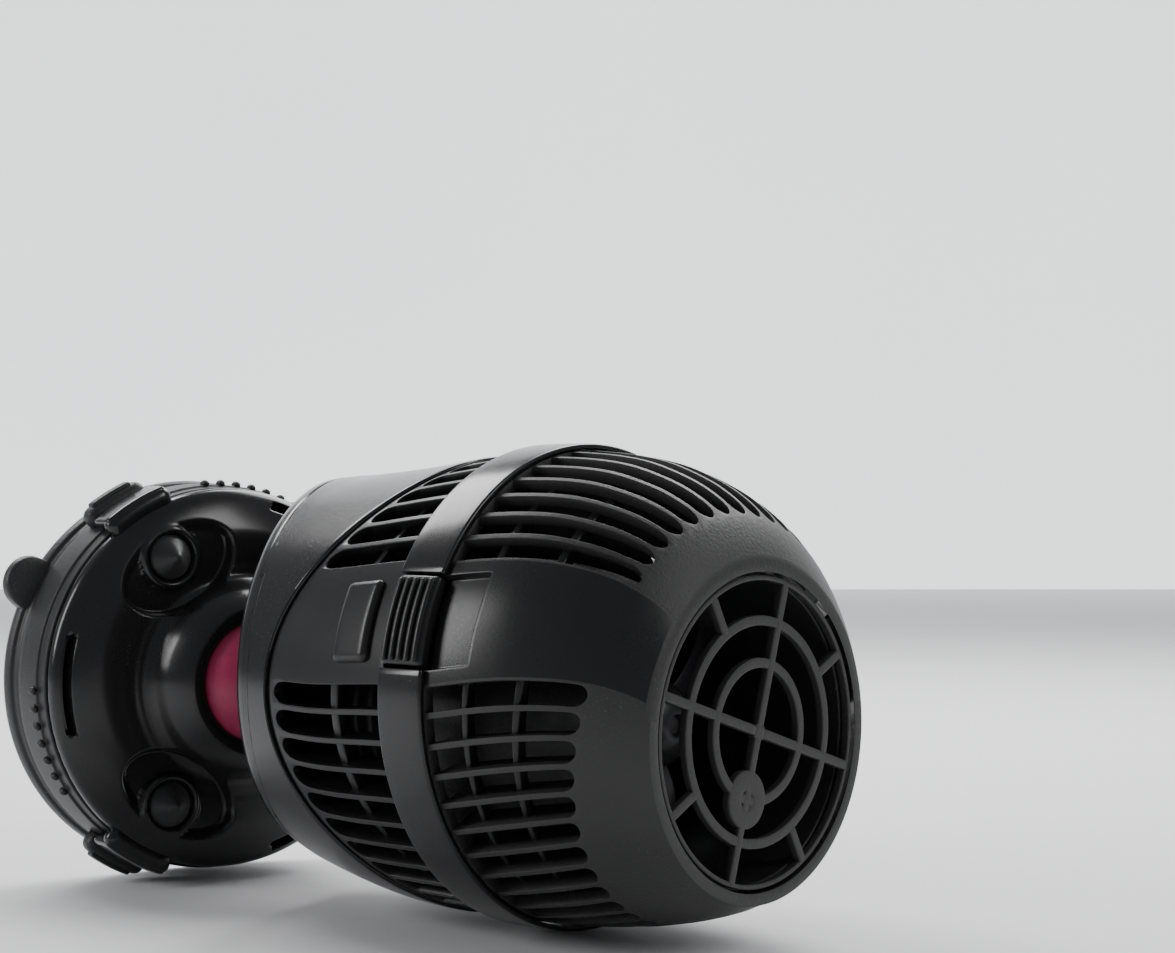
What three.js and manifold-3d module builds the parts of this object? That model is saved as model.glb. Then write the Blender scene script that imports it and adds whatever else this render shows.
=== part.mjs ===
// Wave maker pump for an aquarium: a magnet holder that sits on the glass, a ball swivel, and a
// propeller pump inside a slotted intake cage.
// Frame: millimetres, origin at the centre of the holder's glass face, +X straight out of the
// glass, +Z up. The pump is swung to one side on its ball, the way it is left after aiming it.
import * as THREE from "three";
import { mergeVertices } from "three/addons/utils/BufferGeometryUtils.js";
import Module from "manifold-3d";

const wasm = await Module();
wasm.setup();

// ---------------------------------------------------------------- driving dimensions
const GAP = 0.3; // air between pieces that touch or run in each other

// Ball, and the holder built out from it; stations along +X from the glass
const BALL_R = 13.6;
const SEAT_T = 1.7;
const COLLAR_WALL = 3.8; // raised collar round the ball
const COLLAR_HOLD = 68; // degrees from the collar's axis to its lip, less than 90 so it holds the ball
const RECESS_SHORT = 9; // half axes of the oval recess round each peg
const RECESS_LONG = 14;
const DOME_EDGE = 3.7; // dome left outside the recesses
const BASE_T = 6;
const LOBE_AT = 151; // degrees from +Y towards +Z
const LOBE_R = 5.6;
const HOUSING_WALL = 2.4;
const HOUSING_DEPTH = 12.5;
const MAGNET_T = 6;
const PLATE_T = 2;
const DOME_T = 2.3;
const DOME_RISE = 7.2; // dome edge to the bottom of the saddle
const BALL_STAND = 4.7; // ball centre in front of the saddle
const PEG_COUNT = 3;
const PEG_OUTWARD = 2.2; // from the middle of its recess
const PEG_HEAD_R = 4.7;
const PEG_HEAD_H = 5.4;
const POST_R = 3.8;
const SCREW_R = 1.3;
const SCREW_HEAD_R = 2.8;
const TONGUE_W = 16;
const TAB_W = 14;

// Stem
const STEM_R = 6;
const STEM_CORE_R = 3;
const NUT_R = 8.5;
const NUT_T = 3.6;
const BALL_TO_HOOD = 21.8; // ball centre to the hood's rear face
const STEM_DROP = 2.9; // the ball lies this far below the band's centre
const STEM_SIDE = 1.1; // the stem meets that face this far from the pump's mid plane

// How the pump is aimed: degrees about +Z
const PUMP_YAW = 12.6;
const HOOD_YAW = 19.4; // the hood's rear face is turned this much against the pump's axis

// Pump, stations along its own axis from the middle of the band
const PROP_R = 25;
const INTAKE_ROOM = 20.5; // from the blade tips out to the band
const OUTLET_ROOM = 5.5; // from the blade tips out to the outlet's edge
const BAND_R = PROP_R + INTAKE_ROOM;
const BAND_W = 10.8;
const BAND_T = 1;
const CAGE_R = BAND_R - BAND_T - GAP;
const CAGE_WALL = 2.2;
const CAGE_FRONT = 45;
const HOOD_REAR = -65;
const HOOD_JOINT = -39.5; // where hood and cage meet, at mid height
const HOOD_JOINT_SWEEP = 23; // the hood reaches further forward by this at the top and below
const HOOD_PROUD = 0.6;
const OUTLET_R = PROP_R + OUTLET_ROOM;
const OUTLET_DROP = 6.1; // the outlet and the motor lie this far below the band's centre
const BELLY_RISE = 3.4; // the hood's rear face lies this far above it
const SLOT_PITCH = 7.2; // degrees
const SLOT_SHARE = 0.8; // open share of the pitch
const TOP_SLOTS = 16;
const BOTTOM_SLOTS = 26;
const SLOT_TO_RIM = 5.6; // solid ring between the upper slots and the outlet rim
const SLOT_BACK = 9; // the lower slots end this much further back
const SLAT_TWIST = 7; // degrees that the front slats turn between band and tip
const SLOT_MARGIN = 1.2; // solid strip between a slot and the hood
const SLOT_UNDER_BAND = 0.1; // the slots run this far under the band's edge

const GRILLE_T = 1.6;
const GRILLE_OUTER_RING_R = 19.7;
const GRILLE_INNER_RING_R = 12.2;
const GRILLE_BAR = 1.8;
const GRILLE_TURN = -17; // degrees from the outlet's +Y side to the first long spoke
const GRILLE_BOSS_R = 5.2;
const GRILLE_HOLE_R = 1.1;

const SHAFT_R = 1.5;
const ROTOR_R = 9.6;
const ROTOR_LEN = 30;
const WELL_WALL = 1.7;
const POD_R = 20;
const POD_WALL = 2;
const POD_REAR = -50;
const POD_FRONT = -8;
const CAP_T = 3.6;
const PROP_HUB_R = 8.5;
const PROP_X = [4, 26];
const BLADE_COUNT = 3;
const DUCT_T = 1.5;
const GLAND_R = 4.5;
const GLAND_BORE_R = 3;
const GLAND_AT = 6; // in front of the hood's rear face
const GLAND_RISE = 8; // above the band's centre
const LATCH_MID = 72; // degrees from the top, on each side
const LATCH_HALF = 10.5;
const LATCH_W = 10;
const LATCH_PROUD = 0.8;

// ---------------------------------------------------------------- derived radii and stations
const COLLAR_R = BALL_R + COLLAR_WALL;
const recessMiddle = COLLAR_R + 1.3 + RECESS_SHORT;
const PEG_CIRCLE_R = recessMiddle + PEG_OUTWARD;
const DOME_R = recessMiddle + RECESS_SHORT + DOME_EDGE;
const HOUSING_R = DOME_R + 1.1;
const BASE_R = HOUSING_R + 0.7;
const MAGNET_R = PEG_CIRCLE_R - POST_R - 2.1;
const MAGNET_BORE_R = BALL_R + 2.9;
const housingFloorX = BASE_T + GAP;
const housingFrontX = housingFloorX + HOUSING_DEPTH;
const plateX = housingFloorX + HOUSING_WALL + GAP;
const magnetX = plateX + PLATE_T;
const domeX = housingFrontX + GAP;
const saddleX = domeX + DOME_RISE;
const ballX = saddleX + BALL_STAND;
const recessFloorX = domeX + 3.5;
const bossRearX = domeX - 1.6;
const lipAngle = THREE.MathUtils.degToRad(COLLAR_HOLD);
const ballRoom = BALL_R + GAP;
const seatRoom = ballRoom + SEAT_T + GAP;
const collarFront = ballX + ballRoom * Math.cos(lipAngle) + 0.5;

// ---------------------------------------------------------------- solids
const rad = THREE.MathUtils.degToRad;
const X_AXIS = new THREE.Vector3(1, 0, 0);

function signedVolume(geometry) {
  const p = geometry.getAttribute("position");
  const index = geometry.index;
  const count = index ? index.count : p.count;
  const at = (i) => new THREE.Vector3().fromBufferAttribute(p, index ? index.getX(i) : i);
  let sum = 0;
  for (let i = 0; i < count; i += 3) sum += at(i).dot(at(i + 1).cross(at(i + 2))) / 6;
  return sum;
}

// Bare position-only geometry with shared vertices and its faces pointing out.
function tidy(geometry) {
  const bare = new THREE.BufferGeometry();
  bare.setAttribute("position", geometry.getAttribute("position").clone());
  if (geometry.index) bare.setIndex(geometry.index.clone());
  const merged = mergeVertices(bare, 1e-4);
  if (signedVolume(merged) < 0) {
    const order = merged.index.array;
    for (let i = 0; i < order.length; i += 3) [order[i], order[i + 1]] = [order[i + 1], order[i]];
  }
  return merged;
}

function toSolid(geometry) {
  const clean = tidy(geometry);
  return new wasm.Manifold(
    new wasm.Mesh({
      numProp: 3,
      vertProperties: new Float32Array(clean.getAttribute("position").array),
      triVerts: new Uint32Array(clean.index.array),
    }),
  );
}

function toGeometry(solid) {
  const mesh = solid.getMesh();
  const geometry = new THREE.BufferGeometry();
  geometry.setAttribute("position", new THREE.BufferAttribute(mesh.vertProperties, mesh.numProp));
  geometry.setIndex(new THREE.BufferAttribute(mesh.triVerts, 1));
  return geometry;
}

const cut = (body, ...tools) =>
  toGeometry(tools.reduce((solid, tool) => solid.subtract(toSolid(tool)), toSolid(body)));
const join = (body, ...more) =>
  toGeometry(more.reduce((solid, piece) => solid.add(toSolid(piece)), toSolid(body)));
const common = (body, other) => toGeometry(toSolid(body).intersect(toSolid(other)));

// A profile of [station along X, radius] pairs turned about X. It starts and ends on the axis,
// or it closes on itself.
function turned(profile, segments = 28) {
  const onAxis = profile[0][1] === 0 && profile.at(-1)[1] === 0;
  const points = (onAxis ? profile : [...profile, profile[0]]).map(([x, r]) => new THREE.Vector2(r, x));
  return tidy(new THREE.LatheGeometry(points, segments).rotateZ(-Math.PI / 2));
}

const ring = (x0, x1, inner, outer, segments) =>
  turned([[x0, inner], [x1, inner], [x1, outer], [x0, outer]], segments);
const rod = (x0, x1, r, segments) => turned([[x0, 0], [x0, r], [x1, r], [x1, 0]], segments);

// An arc of a sphere's outline about `centre` on X, from one polar angle to another in degrees.
function arc(centre, radius, from, to, steps) {
  return Array.from({ length: steps + 1 }, (_, i) => {
    const polar = rad(from + ((to - from) * i) / steps);
    return [centre + radius * Math.cos(polar), radius * Math.sin(polar)];
  });
}

// Closed rings of points joined into one skin. Open ends are capped; `closed` joins last to first.
function loft(rings, closed = false) {
  const count = rings[0].length;
  const points = rings.flat();
  const faces = [];
  const spans = closed ? rings.length : rings.length - 1;
  for (let i = 0; i < spans; i++) {
    for (let j = 0; j < count; j++) {
      const a = i * count + j;
      const b = i * count + ((j + 1) % count);
      const c = ((i + 1) % rings.length) * count + j;
      const d = ((i + 1) % rings.length) * count + ((j + 1) % count);
      faces.push(a, b, d, a, d, c);
    }
  }
  if (!closed) {
    for (const [row, turn] of [[0, true], [rings.length - 1, false]]) {
      const centre = rings[row].reduce((sum, p) => sum.add(p), new THREE.Vector3());
      points.push(centre.divideScalar(count));
      const hub = points.length - 1;
      for (let j = 0; j < count; j++) {
        const a = row * count + j;
        const b = row * count + ((j + 1) % count);
        faces.push(hub, ...(turn ? [b, a] : [a, b]));
      }
    }
  }
  return tidy(new THREE.BufferGeometry().setFromPoints(points).setIndex(faces));
}

// A prism along +X from x0 to x1 over a shape drawn in the Y-Z plane.
function prism(shape, x0, x1, curveSegments = 16) {
  const geometry = new THREE.ExtrudeGeometry(shape, { depth: x1 - x0, bevelEnabled: false, curveSegments });
  const turn = new THREE.Matrix4().makeBasis(
    new THREE.Vector3(0, 1, 0), new THREE.Vector3(0, 0, 1), new THREE.Vector3(1, 0, 0));
  return geometry.applyMatrix4(turn).translate(x0, 0, 0);
}

function oval(y, z, halfY, halfZ) {
  const shape = new THREE.Shape();
  shape.absellipse(y, z, halfY, halfZ, 0, Math.PI * 2, false, 0);
  return shape;
}

function sector(inner, outer, from, to) {
  const shape = new THREE.Shape();
  shape.absarc(0, 0, outer, rad(from), rad(to), false);
  shape.absarc(0, 0, inner, rad(to), rad(from), true);
  return shape;
}

const block = (x, y, z, cx, cy, cz) => new THREE.BoxGeometry(x, y, z).translate(cx, cy, cz);
const spun = (geometry, degrees) => geometry.clone().rotateX(rad(degrees));
const pegAngle = (i) => (i * 360) / PEG_COUNT;

function plastic(color, roughness = 0.42) {
  return new THREE.MeshStandardMaterial({ color, roughness, metalness: 0 });
}
const metal = (color, roughness = 0.35) =>
  new THREE.MeshStandardMaterial({ color, roughness, metalness: 0.9 });

const part = new THREE.Group();
function add(group, name, geometry, material) {
  const mesh = new THREE.Mesh(geometry, material);
  mesh.name = name;
  group.add(mesh);
  return mesh;
}

// ---------------------------------------------------------------- holder
const holder = new THREE.Group();
part.add(holder);

// Rubber base: flat face on the glass, shallow suction groove, one peel lobe.
function suctionBase() {
  const disc = turned([
    [0, 0], [0, 14], [1.6, 15.5], [1.6, BASE_R - 6.5], [0, BASE_R - 5], [0, BASE_R - 0.4],
    [1.2, BASE_R], [3, BASE_R - 0.6], [BASE_T, BASE_R - 2], [BASE_T, 0],
  ], 40);
  const lobeY = BASE_R * Math.cos(rad(LOBE_AT));
  const lobeZ = BASE_R * Math.sin(rad(LOBE_AT));
  const lobe = prism(oval(lobeY, lobeZ, LOBE_R, LOBE_R), 0.4, 3.4, 5);
  const inside = rod(-1, BASE_T + 1, BASE_R - 4, 40);
  return join(disc, cut(lobe, inside));
}
add(holder, "suction_base", suctionBase(), plastic(0x1a1a1b, 0.75));

// Housing behind the dome: a cup with three screw posts and three tabs on its rim.
function magnetHousing() {
  const cup = turned([
    [housingFloorX, 0], [housingFloorX, HOUSING_R], [housingFrontX, HOUSING_R - 0.5],
    [housingFrontX, HOUSING_R - HOUSING_WALL], [housingFloorX + HOUSING_WALL, HOUSING_R - HOUSING_WALL],
    [housingFloorX + HOUSING_WALL, 0],
  ], 40);
  let body = cup;
  for (let i = 0; i < PEG_COUNT; i++) {
    const post = rod(housingFloorX + 1, bossRearX - GAP, POST_R, 12).translate(0, PEG_CIRCLE_R, 0);
    const tab = block(5.5, 7, TAB_W, housingFloorX + 4, HOUSING_R + 0.4, 0);
    body = join(body, spun(post, pegAngle(i)), spun(tab, pegAngle(i)));
  }
  const pilots = Array.from({ length: PEG_COUNT }, (_, i) =>
    spun(rod(housingFloorX + HOUSING_WALL, housingFrontX + 5, SCREW_R + GAP, 8)
      .translate(0, PEG_CIRCLE_R, 0), pegAngle(i)));
  return cut(body, ...pilots);
}
add(holder, "magnet_housing", magnetHousing(), plastic(0x232324, 0.6));
add(holder, "magnet_back_plate", rod(plateX, plateX + PLATE_T - GAP, MAGNET_R), metal(0x8d9094));
add(holder, "holder_magnet", ring(magnetX, magnetX + MAGNET_T, MAGNET_BORE_R, MAGNET_R),
  metal(0x55585c, 0.5));

// Dome cover: a low dome with a raised collar that holds the ball, three oval recesses with a
// ring boss in each, three arc slots near the rim and three tongues over the housing.
function domeOutline() {
  return new THREE.SplineCurve([
    [domeX, DOME_R - 0.5], [domeX + 1.2, DOME_R], [domeX + 3.1, DOME_R - 0.8],
    [domeX + 4.8, DOME_R - 3.6], [domeX + 6.5, DOME_R - 8.2], [saddleX, DOME_R - 13.6],
    [saddleX + 0.4, COLLAR_R + 6.4], [saddleX + 1.5, COLLAR_R + 3.8], [collarFront - 4.5, COLLAR_R + 1.7],
    [collarFront - 1.9, COLLAR_R + 0.1], [collarFront - 0.3, COLLAR_R - 1.6], [collarFront, COLLAR_R - 3],
  ].map(([x, r]) => new THREE.Vector2(x, r))).getPoints(13).map((p) => [p.x, p.y]);
}

function domeCover() {
  const outline = domeOutline();
  const lip = arc(ballX, ballRoom, COLLAR_HOLD, 79, 1);
  const socket = arc(ballX, seatRoom, 79, 124, 4);
  const under = [
    [saddleX - 1.2, COLLAR_R + 1], [saddleX - DOME_T, DOME_R - 14.5], [domeX + 4.2, DOME_R - 9.6],
    [domeX + 2.6, DOME_R - 5.8], [domeX + 1.2, DOME_R - 3], [domeX, DOME_R - 2.6],
  ];
  const shell = turned([...outline, ...lip, ...socket, ...under], 34);
  const envelope = turned([[bossRearX, 0], [bossRearX, DOME_R - 2.6], [domeX, DOME_R - 2.5],
    ...outline, [collarFront, 0]], 34);
  let body = shell;
  const tools = [];
  for (let i = 0; i < PEG_COUNT; i++) {
    const at = pegAngle(i);
    const bossShape = oval(recessMiddle - 0.4, 0, RECESS_SHORT + 1.4, RECESS_LONG + 2);
    const boss = prism(bossShape, bossRearX, saddleX, 8);
    body = join(body, spun(common(boss, envelope), at));
  }
  for (let i = 0; i < PEG_COUNT; i++) {
    const at = pegAngle(i);
    const well = prism(oval(recessMiddle, 0, RECESS_SHORT, RECESS_LONG), recessFloorX, ballX, 9);
    const keep = ring(recessFloorX - 1, recessFloorX + 1.6, PEG_HEAD_R + GAP + 0.2, PEG_HEAD_R + 1.6, 16)
      .translate(0, PEG_CIRCLE_R, 0);
    tools.push(spun(cut(well, keep), at));
    tools.push(spun(rod(bossRearX - 1, recessFloorX + 1, SCREW_R + GAP, 8)
      .translate(0, PEG_CIRCLE_R, 0), at));
    tools.push(spun(rod(recessFloorX - 3.1, recessFloorX + 1, SCREW_HEAD_R + GAP, 12)
      .translate(0, PEG_CIRCLE_R, 0), at));
    tools.push(prism(sector(DOME_R - 3.5, DOME_R - 1.6, at + 44, at + 76), domeX - 2, saddleX, 4));
  }
  body = cut(body, ...tools);
  for (let i = 0; i < PEG_COUNT; i++) {
    const skirtIn = HOUSING_R + GAP;
    const skirt = block(7.6, 1.7, TONGUE_W, domeX - 1.6, skirtIn + 0.85, 0);
    const root = block(2.2, 5.2, TONGUE_W, domeX + 1.1, skirtIn - 0.9, 0);
    body = join(body, spun(join(skirt, root), pegAngle(i)));
  }
  return body;
}
add(holder, "dome_cover", domeCover(), plastic(0x101011, 0.3));

for (let i = 0; i < PEG_COUNT; i++) {
  const base = recessFloorX + GAP;
  const peg = turned([
    [base, 0], [base, PEG_HEAD_R - 0.1], [base + 1.2, PEG_HEAD_R], [base + PEG_HEAD_H, 0.7],
    [base + PEG_HEAD_H + 0.1, 0],
  ], 18).translate(0, PEG_CIRCLE_R, 0);
  add(holder, `rubber_peg_${i + 1}`, spun(peg, pegAngle(i)), plastic(0x141415, 0.6));
  const headX = recessFloorX - 2.8;
  const screw = turned([
    [housingFloorX + HOUSING_WALL + GAP, 0], [housingFloorX + HOUSING_WALL + GAP, SCREW_R],
    [headX, SCREW_R], [headX, SCREW_HEAD_R], [headX + 1.8, SCREW_HEAD_R], [headX + 2.2, 1.8],
    [headX + 2.2, 0],
  ], 10).translate(0, PEG_CIRCLE_R, 0);
  add(holder, `dome_screw_${i + 1}`, spun(screw, pegAngle(i)), metal(0xb4b6b8));
}

// ---------------------------------------------------------------- swivel
const seat = turned([...arc(ballX, ballRoom, 180, 82, 6), ...arc(ballX, ballRoom + SEAT_T, 82, 180, 6)]
  .map(([x, r]) => [x, Math.abs(r) < 1e-9 ? 0 : r]), 24);
add(part, "ball_seat", seat, plastic(0xcfcfca, 0.5));

// The stem's own frame: origin at the ball's centre, +X along the stem.
const aim = new THREE.Group();
aim.position.x = ballX;
aim.rotation.z = rad(PUMP_YAW + HOOD_YAW);
part.add(aim);

const flatAt = THREE.MathUtils.radToDeg(Math.asin(STEM_R / BALL_R));
const flatX = BALL_R * Math.cos(rad(flatAt));
const coreRear = -6;
const ball = turned([
  [coreRear, 0], [coreRear, STEM_CORE_R + GAP], [flatX, STEM_CORE_R + GAP],
  ...arc(0, BALL_R, flatAt, 180, 10).map(([x, r]) => [x, Math.abs(r) < 1e-9 ? 0 : r]),
], 26);
add(aim, "swivel_ball", ball, plastic(0x8a1f45, 0.45));

const nutX = BALL_TO_HOOD + CAGE_WALL + GAP;
const stem = turned([
  [coreRear + GAP, 0], [coreRear + GAP, STEM_CORE_R], [flatX + GAP, STEM_CORE_R],
  [flatX + GAP, STEM_R], [nutX, STEM_R], [nutX, STEM_CORE_R], [nutX + NUT_T + 1.5, STEM_CORE_R],
  [nutX + NUT_T + 1.5, 0],
], 22);
add(aim, "ball_stem", stem, plastic(0x161617, 0.4));
const nut = cut(rod(nutX + GAP, nutX + NUT_T, NUT_R, 6), rod(nutX, nutX + NUT_T + 1, STEM_CORE_R + GAP, 22));
add(aim, "stem_nut", nut, metal(0xa9abad));

// ---------------------------------------------------------------- pump form
// The pump's frame: origin in the middle of the band, +X towards the outlet.
const pump = new THREE.Group();
const ballInPump = new THREE.Vector3(
  HOOD_REAR - STEM_SIDE * Math.tan(rad(HOOD_YAW)) - BALL_TO_HOOD * Math.cos(rad(HOOD_YAW)),
  STEM_SIDE - BALL_TO_HOOD * Math.sin(rad(HOOD_YAW)), -STEM_DROP);
pump.rotation.z = rad(PUMP_YAW);
pump.position.set(ballX, 0, 0)
  .sub(ballInPump.clone().applyAxisAngle(new THREE.Vector3(0, 0, 1), rad(PUMP_YAW)));
part.add(pump);

// Outer form: [station, radius, height of the section's centre]. The belly rises behind the
// band under the hood, and the front closes down to the lowered outlet. Stations are shares of the
// cage's front and the hood's rear. Radii are shares of the cage's radius behind the band, and of
// the way from the outlet's radius to the cage's in front of it.
const toRear = [
  [1.271, 0.738, 1.3], [1.043, 0.801, 0.88], [0.883, 0.857, 0.41], [0.746, 0.898, 0], [0.441, 0.959, -0.29],
];
const toFront = [
  [0.444, 0.891, 0.05], [0.667, 0.7, 0.2], [0.8, 0.519, 0.36], [0.889, 0.342, 0.54], [0.967, 0.11, 0.8],
];
const FORM = [
  ...toRear.map(([at, r, rise]) => [HOOD_REAR * at, CAGE_R * r, BELLY_RISE * rise]),
  [-BAND_W / 2, CAGE_R, 0], [BAND_W / 2, CAGE_R, 0],
  ...toFront.map(([at, share, drop]) =>
    [CAGE_FRONT * at, OUTLET_R + (CAGE_R - OUTLET_R) * share, -OUTLET_DROP * drop]),
  [CAGE_FRONT, OUTLET_R, -OUTLET_DROP],
];

// The form's radius and centre height at a station, by a smooth curve through its two neighbours.
function sectionAt(x) {
  const last = FORM.length - 1;
  const here = Math.min(last - 1, Math.max(0, FORM.findIndex(([at]) => at > x) - 1));
  const i = x >= FORM[last][0] ? last - 1 : here;
  const [a, b] = [FORM[i], FORM[i + 1]];
  const before = FORM[Math.max(0, i - 1)];
  const after = FORM[Math.min(last, i + 2)];
  const t = (x - a[0]) / (b[0] - a[0]);
  const value = (k) => {
    const width = b[0] - a[0];
    const slopeA = ((b[k] - before[k]) / (b[0] - before[0])) * width;
    const slopeB = ((after[k] - a[k]) / (after[0] - a[0])) * width;
    const [t2, t3] = [t * t, t * t * t];
    return (2 * t3 - 3 * t2 + 1) * a[k] + (t3 - 2 * t2 + t) * slopeA
      + (3 * t2 - 2 * t3) * b[k] + (t3 - t2) * slopeB;
  };
  return { radius: value(1), height: value(2) };
}

// A point of the form: `around` is in degrees from the top, growing towards -Y.
function formPoint(x, around, inset = 0) {
  const { radius, height } = sectionAt(x);
  const r = radius - inset;
  return new THREE.Vector3(x, -r * Math.sin(rad(around)), height + r * Math.cos(rad(around)));
}

const hoodJointX = (around) => HOOD_JOINT + HOOD_JOINT_SWEEP * Math.cos(rad(around)) ** 2;

// Station of the hood's slanted rear plane on the form, at `back` behind its face.
function hoodRearX(around, inset, back = 0) {
  let x = HOOD_REAR;
  for (let i = 0; i < 12; i++) {
    x = HOOD_REAR - back / Math.cos(rad(HOOD_YAW)) - formPoint(x, around, inset).y * Math.tan(rad(HOOD_YAW));
  }
  return x;
}

const around = (count) => Array.from({ length: count }, (_, i) => (360 * i) / count);

// Columns of a cage half, in degrees from the top: edges of slats and slots, then plain panels.
// Each column says whether it is a slot.
function cageColumns() {
  const columns = [];
  const group = (middle, count) => {
    const first = middle - (count * SLOT_PITCH) / 2;
    for (let i = 0; i < count; i++) {
      const from = first + i * SLOT_PITCH + (SLOT_PITCH * (1 - SLOT_SHARE)) / 2;
      columns.push({ from, slot: true }, { from: from + SLOT_PITCH * SLOT_SHARE, slot: false });
    }
  };
  const plain = (from, to) => {
    const count = Math.round((to - from) / 9);
    for (let i = 1; i < count; i++) columns.push({ from: from + ((to - from) * i) / count, slot: false });
  };
  group(0, TOP_SLOTS);
  const topEnd = (TOP_SLOTS * SLOT_PITCH) / 2;
  const bottomStart = 180 - (BOTTOM_SLOTS * SLOT_PITCH) / 2;
  plain(topEnd, bottomStart);
  group(180, BOTTOM_SLOTS);
  plain(360 - bottomStart, 360 - topEnd);
  return columns;
}

// How far a front slat has turned at a station, in degrees.
function slatTurn(x) {
  const share = (x - BAND_W / 2) / (CAGE_FRONT - SLOT_TO_RIM - BAND_W / 2);
  return SLAT_TWIST * Math.max(0, share);
}

// A slotted half of the cage. `station(k, around)` gives the rows' stations; slots open between
// rows `slotFrom` and `slotTo`.
function slottedShell(rows, station, slotFrom, slotTo) {
  const columns = cageColumns();
  const n = columns.length;
  const points = [];
  for (const inset of [0, CAGE_WALL]) {
    for (let k = 0; k < rows; k++) {
      for (const { from } of columns) {
        const x = station(k, from);
        points.push(formPoint(x, from - slatTurn(x), inset));
      }
    }
  }
  const id = (layer, k, j) => (layer * rows + k) * n + (j % n);
  const open = (k, j) => k >= slotFrom && k < slotTo && columns[(j + n) % n].slot;
  const faces = [];
  const quad = (a, b, c, d) => faces.push(a, b, c, a, c, d);
  for (let j = 0; j < n; j++) {
    for (let k = 0; k < rows - 1; k++) {
      if (open(k, j)) continue;
      quad(id(0, k, j), id(0, k, j + 1), id(0, k + 1, j + 1), id(0, k + 1, j));
      quad(id(1, k, j), id(1, k + 1, j), id(1, k + 1, j + 1), id(1, k, j + 1));
      if (open(k, j - 1)) quad(id(0, k, j), id(0, k + 1, j), id(1, k + 1, j), id(1, k, j));
      if (open(k, j + 1)) quad(id(0, k + 1, j + 1), id(0, k, j + 1), id(1, k, j + 1), id(1, k + 1, j + 1));
      if (k + 1 < rows - 1 && open(k + 1, j)) {
        quad(id(0, k + 1, j), id(0, k + 1, j + 1), id(1, k + 1, j + 1), id(1, k + 1, j));
      }
      if (k > 0 && open(k - 1, j)) {
        quad(id(0, k, j + 1), id(0, k, j), id(1, k, j), id(1, k, j + 1));
      }
    }
    quad(id(0, 0, j + 1), id(0, 0, j), id(1, 0, j), id(1, 0, j + 1));
    quad(id(0, rows - 1, j), id(0, rows - 1, j + 1), id(1, rows - 1, j + 1), id(1, rows - 1, j));
  }
  return tidy(new THREE.BufferGeometry().setFromPoints(points).setIndex(faces));
}

// A curved plate on the form, used as latch pad and as the tool for its window.
function formPlate(x0, x1, from, to, inset0, inset1, steps = 6) {
  const rings = Array.from({ length: steps + 1 }, (_, i) => {
    const at = from + ((to - from) * i) / steps;
    const at2 = (x, inset) => {
      const r = CAGE_R - inset;
      return new THREE.Vector3(x, -r * Math.sin(rad(at)), r * Math.cos(rad(at)));
    };
    return [at2(x0, inset0), at2(x1, inset0), at2(x1, inset1), at2(x0, inset1)];
  });
  return loft(rings);
}

const latchSides = [["left", LATCH_MID], ["right", -LATCH_MID]];
const latchWindows = () => latchSides.map(([, mid]) =>
  formPlate(-LATCH_W / 2 - GAP, LATCH_W / 2 + GAP, mid - LATCH_HALF - 0.6, mid + LATCH_HALF + 0.6,
    CAGE_WALL + 2, -BAND_T - 3));

// ---------------------------------------------------------------- pump shells
const glandX = HOOD_REAR + GLAND_AT;
const glandWall = sectionAt(glandX).radius;

function rearHood() {
  const count = 40;
  const row = (share, inset) => around(count).map((a) => {
    const front = hoodJointX(a) - 2 * GAP;
    return formPoint(front + (hoodRearX(a, inset) - front) * share, a, inset);
  });
  const proud = -HOOD_PROUD;
  const inner = CAGE_WALL - HOOD_PROUD;
  const innerRow = (share) => around(count).map((a) => {
    const front = hoodJointX(a) - 2 * GAP;
    return formPoint(front + (hoodRearX(a, inner, -CAGE_WALL) - front) * share, a, inner);
  });
  const rim = around(count).map((a) => formPoint(hoodRearX(a, 1.6), a, 1.6));
  const cup = loft([
    innerRow(1), innerRow(0.5), innerRow(0), row(0, proud), row(0.35, proud), row(0.7, proud),
    row(0.94, proud), rim,
  ]);
  const stemHole = rod(BALL_TO_HOOD - 8, BALL_TO_HOOD + 12, STEM_R + GAP, 22)
    .rotateZ(rad(HOOD_YAW)).translate(ballInPump.x, ballInPump.y, ballInPump.z);
  const glandHole = rod(glandWall - 17, glandWall + 23, GLAND_R + GAP, 18)
    .rotateZ(Math.PI / 2).translate(glandX, 0, GLAND_RISE);
  return cut(cup, stemHole, glandHole);
}
add(pump, "rear_hood", rearHood(), plastic(0x0f0f10, 0.28));

// Gland in the hood's far side, with the bore for the lead.
const flangeIn = glandWall - 8;
const flangeOut = glandWall - 5.8;
const gland = turned([
  [flangeIn, GLAND_BORE_R], [glandWall + 11, GLAND_BORE_R - 0.6], [glandWall + 11, GLAND_R - 1.4],
  [glandWall + 4, GLAND_R], [flangeOut, GLAND_R], [flangeOut, GLAND_R + 2], [flangeIn, GLAND_R + 2],
], 18).rotateZ(Math.PI / 2).translate(glandX, -GAP, GLAND_RISE);
add(pump, "cable_gland", gland, plastic(0x1b1b1c, 0.7));

const slotRearRows = 6;
const rearCage = slottedShell(slotRearRows, (k, a) => {
  const rear = hoodJointX(a);
  const first = rear + SLOT_MARGIN;
  const length = SLOT_UNDER_BAND - BAND_W / 2 - first;
  return [rear, first, first + length / 3, first + (length * 2) / 3, first + length, -GAP / 2][k];
}, 1, 4);
add(pump, "rear_cage", cut(rearCage, ...latchWindows()), plastic(0x121213, 0.38));

const frontStations = [GAP / 2, BAND_W / 2 - SLOT_UNDER_BAND, CAGE_FRONT * 0.4, CAGE_FRONT * 0.64,
  CAGE_FRONT - SLOT_TO_RIM, CAGE_FRONT - 2.5, CAGE_FRONT];
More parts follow.
